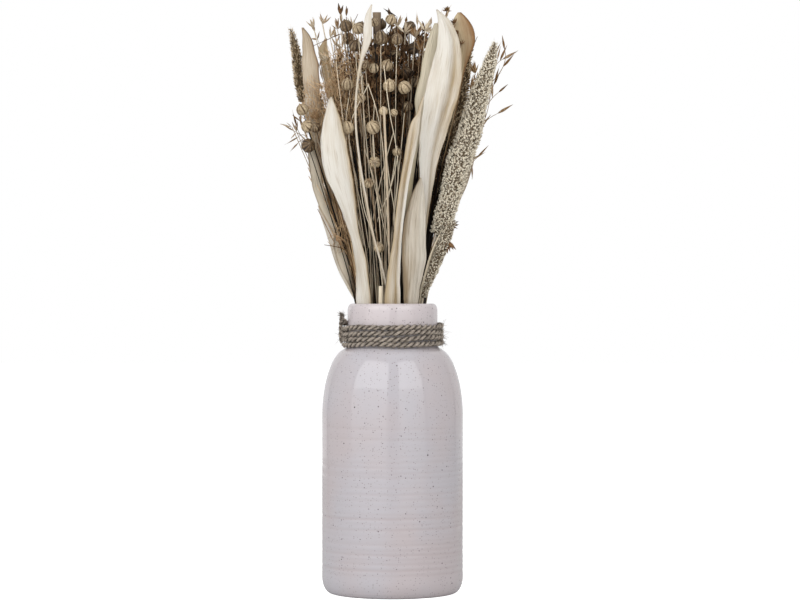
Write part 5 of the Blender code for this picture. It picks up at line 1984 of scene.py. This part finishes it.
BROWN_TUFTS = (
    ((-38, -14, 241), (0.6, -0.3, -0.8), 0.35, 14, 8.0, 0.6, 0.5),
    ((-50, -15, 318), (-0.3, -0.3, 0.9), 0.5, 40, 6.0, 0.5, 0.25),
    ((36.5, -20, 237), (0.35, -0.3, -0.9), 0.32, 14, 8.5, 1.1, 0.75),
    ((39, -21, 247), (0.9, 0, 0.3), 0.5, 8, 5.0, 0.8, 1.2),
    ((3, -12, 387), (-0.85, 0, 0.4), 0.08, 3, 10.0, 0.8, 1.7),
    ((-35, -12, 388), (-0.1, 0, 1.0), 0.15, 4, 7.0, 1.1, 1.3),
    ((-31, -12, 387), (0.1, 0, 1.0), 0.12, 3, 7.0, 1.1, 1.2),
    ((56, 3, 350), (-0.2, 0, 1.0), 0.4, 10, 9.0, 0.8, 0.2),
    ((53, 0, 338), (0.3, 0, 1.0), 0.35, 12, 9.5, 0.8, 0.15),
    ((57, -2, 342), (-0.1, 0, 1.0), 0.35, 8, 8.5, 0.8, 0.2),
    ((46, -13, 368), (-0.5, -0.2, 0.8), 0.6, 16, 3.6, 0.5, 1.0),
    ((42, -14, 382), (-0.4, -0.2, 0.8), 0.6, 16, 3.4, 0.5, 1.1),
    ((44, -14, 375), (-0.4, -0.2, 0.8), 0.6, 16, 3.4, 0.5, 1.0),
    ((8, -13, 363), (0.2, -0.3, 1.0), 0.5, 14, 6.0, 0.8, 1.5),
    ((0, -13, 358), (-0.2, -0.3, 1.0), 0.5, 14, 6.0, 0.8, 1.6),
    ((-6, -13, 345), (-0.2, -0.3, 1.0), 0.5, 14, 6.0, 0.8, 1.6),
    ((12, -13, 346), (0.2, -0.3, 1.0), 0.5, 14, 6.0, 0.8, 1.7),
    ((4, -12, 332), (0.2, -0.3, 1.0), 0.5, 14, 6.0, 0.8, 1.7),
    ((-24, -14, 356), (-0.2, -0.3, 1.0), 0.5, 14, 6.0, 0.7, 1.0),
    ((-22, -14, 325), (0.2, -0.3, 1.0), 0.5, 12, 5.0, 0.6, 0.8),
)
STRAW_TUFTS = (
    ((-65, 8, 311), (-0.4, 0, 0.3), 0.9, 5, 8.5, 0.75, 0.6),
    ((-68, 8, 314), (-0.6, 0, 0.3), 0.5, 2, 8.5, 0.7, 0.6),
    ((-62, 8, 318), (-0.2, 0, 0.7), 0.6, 3, 7.0, 0.7, 0.7),
    ((3, -10, 380), (0.1, 0, 1.0), 0.45, 9, 8.0, 0.9, 0.3),
    ((8.5, -11, 376), (0.4, 0, 1.0), 0.45, 9, 8.5, 0.9, 0.1),
    ((15, -12, 373), (0.2, 0, 1.0), 0.45, 9, 8.0, 0.9, 0.6),
    ((22, -13, 377), (0.5, 0, 1.0), 0.45, 9, 8.0, 0.9, 0.2),
    ((26, -8, 370), (0.5, 0, 1.0), 0.45, 9, 8.0, 0.9, 0.1),
    ((18.5, -12, 364), (0.2, 0, 1.0), 0.45, 9, 8.0, 0.8, 0.8),
    ((-4, -13, 368), (-0.3, 0, 1.0), 0.45, 9, 7.0, 0.8, 0.8),
    ((-53, -2, 380), (-0.5, 0, 1.0), 0.42, 8, 7.5, 0.75, 0.2),
    ((-47, -2, 383), (0.1, 0, 1.0), 0.42, 8, 7.5, 0.75, 0.3),
    ((-42, -2, 374), (0.2, 0, 1.0), 0.42, 9, 7.5, 0.8, 0.2),
    ((-37, -4, 379), (-0.1, 0, 1.0), 0.42, 9, 7.5, 0.8, 0.5),
    ((-32, -6, 371), (0.1, 0, 1.0), 0.42, 9, 7.5, 0.8, 0.2),
    ((-45, -4, 358), (-0.3, 0, 1.0), 0.42, 9, 7.5, 0.8, 0.2),
    ((-38, -5, 352), (0.2, 0, 1.0), 0.42, 9, 7.5, 0.8, 0.1),
    ((-49, -4, 354), (-0.4, 0, 1.0), 0.42, 8, 7.0, 0.75, 0.6),
    ((-27, -10, 380), (0.0, 0, 1.0), 0.42, 8, 7.0, 0.75, 0.2),
    ((-24, -8, 366), (0.0, 0, 1.0), 0.42, 8, 7.0, 0.75, 0.6),
)


def tufts_on_stems(rows, rng):
    """Each tuft of a table and the stem that carries it, one shape."""
    shapes = []
    for centre, ahead, spread, count, length, width, tone in rows:
        shapes.append(tuft(centre, ahead, spread, count, length, width, tone, rng))
        shapes.append(stem_to(centre, tone, 0.26, rng))
    return joined(*shapes)


piece(
    "curled_fibres",
    joined(
        curls(rng, (-33, -13, 338), (13, 4, 26), 260, 18, 0.3),
        curls(rng, (-51, -15, 325), (9, 3, 17), 180, 11, 0.3),
        curls(rng, (-36, -12, 240), (6, 3, 9), 60, 9, 0.45),
        tufts_on_stems(BROWN_TUFTS, rng),
    ),
    panicle,
    "brown_twig",
)

# Thin bent twigs, three at the top among the straw-coloured tufts and one low at the left.
BENT_TWIGS = (
    ((-30, -5, 350), (-34, -6, 376), (-44, -7, 372), (-54, -8, 367.5)),
    ((-26, -8, 350), (-28, -9, 378), (-23.3, -9, 389)),
    ((44, -8, 345), (52, -9, 362), (57, -9, 374)),
    ((-30, -14, 230), (-35, -15, 232), (-45.5, -16, 234)),
)
bent_lines = np.array([smooth(line, 30) for line in BENT_TWIGS])
piece(
    "tufts_and_twigs",
    joined(
        tufts_on_stems(STRAW_TUFTS, rng),
        strands(bent_lines, np.linspace(0.36, 0.2, 30), 5, 1.5),
    ),
    straw,
    "oat",
)
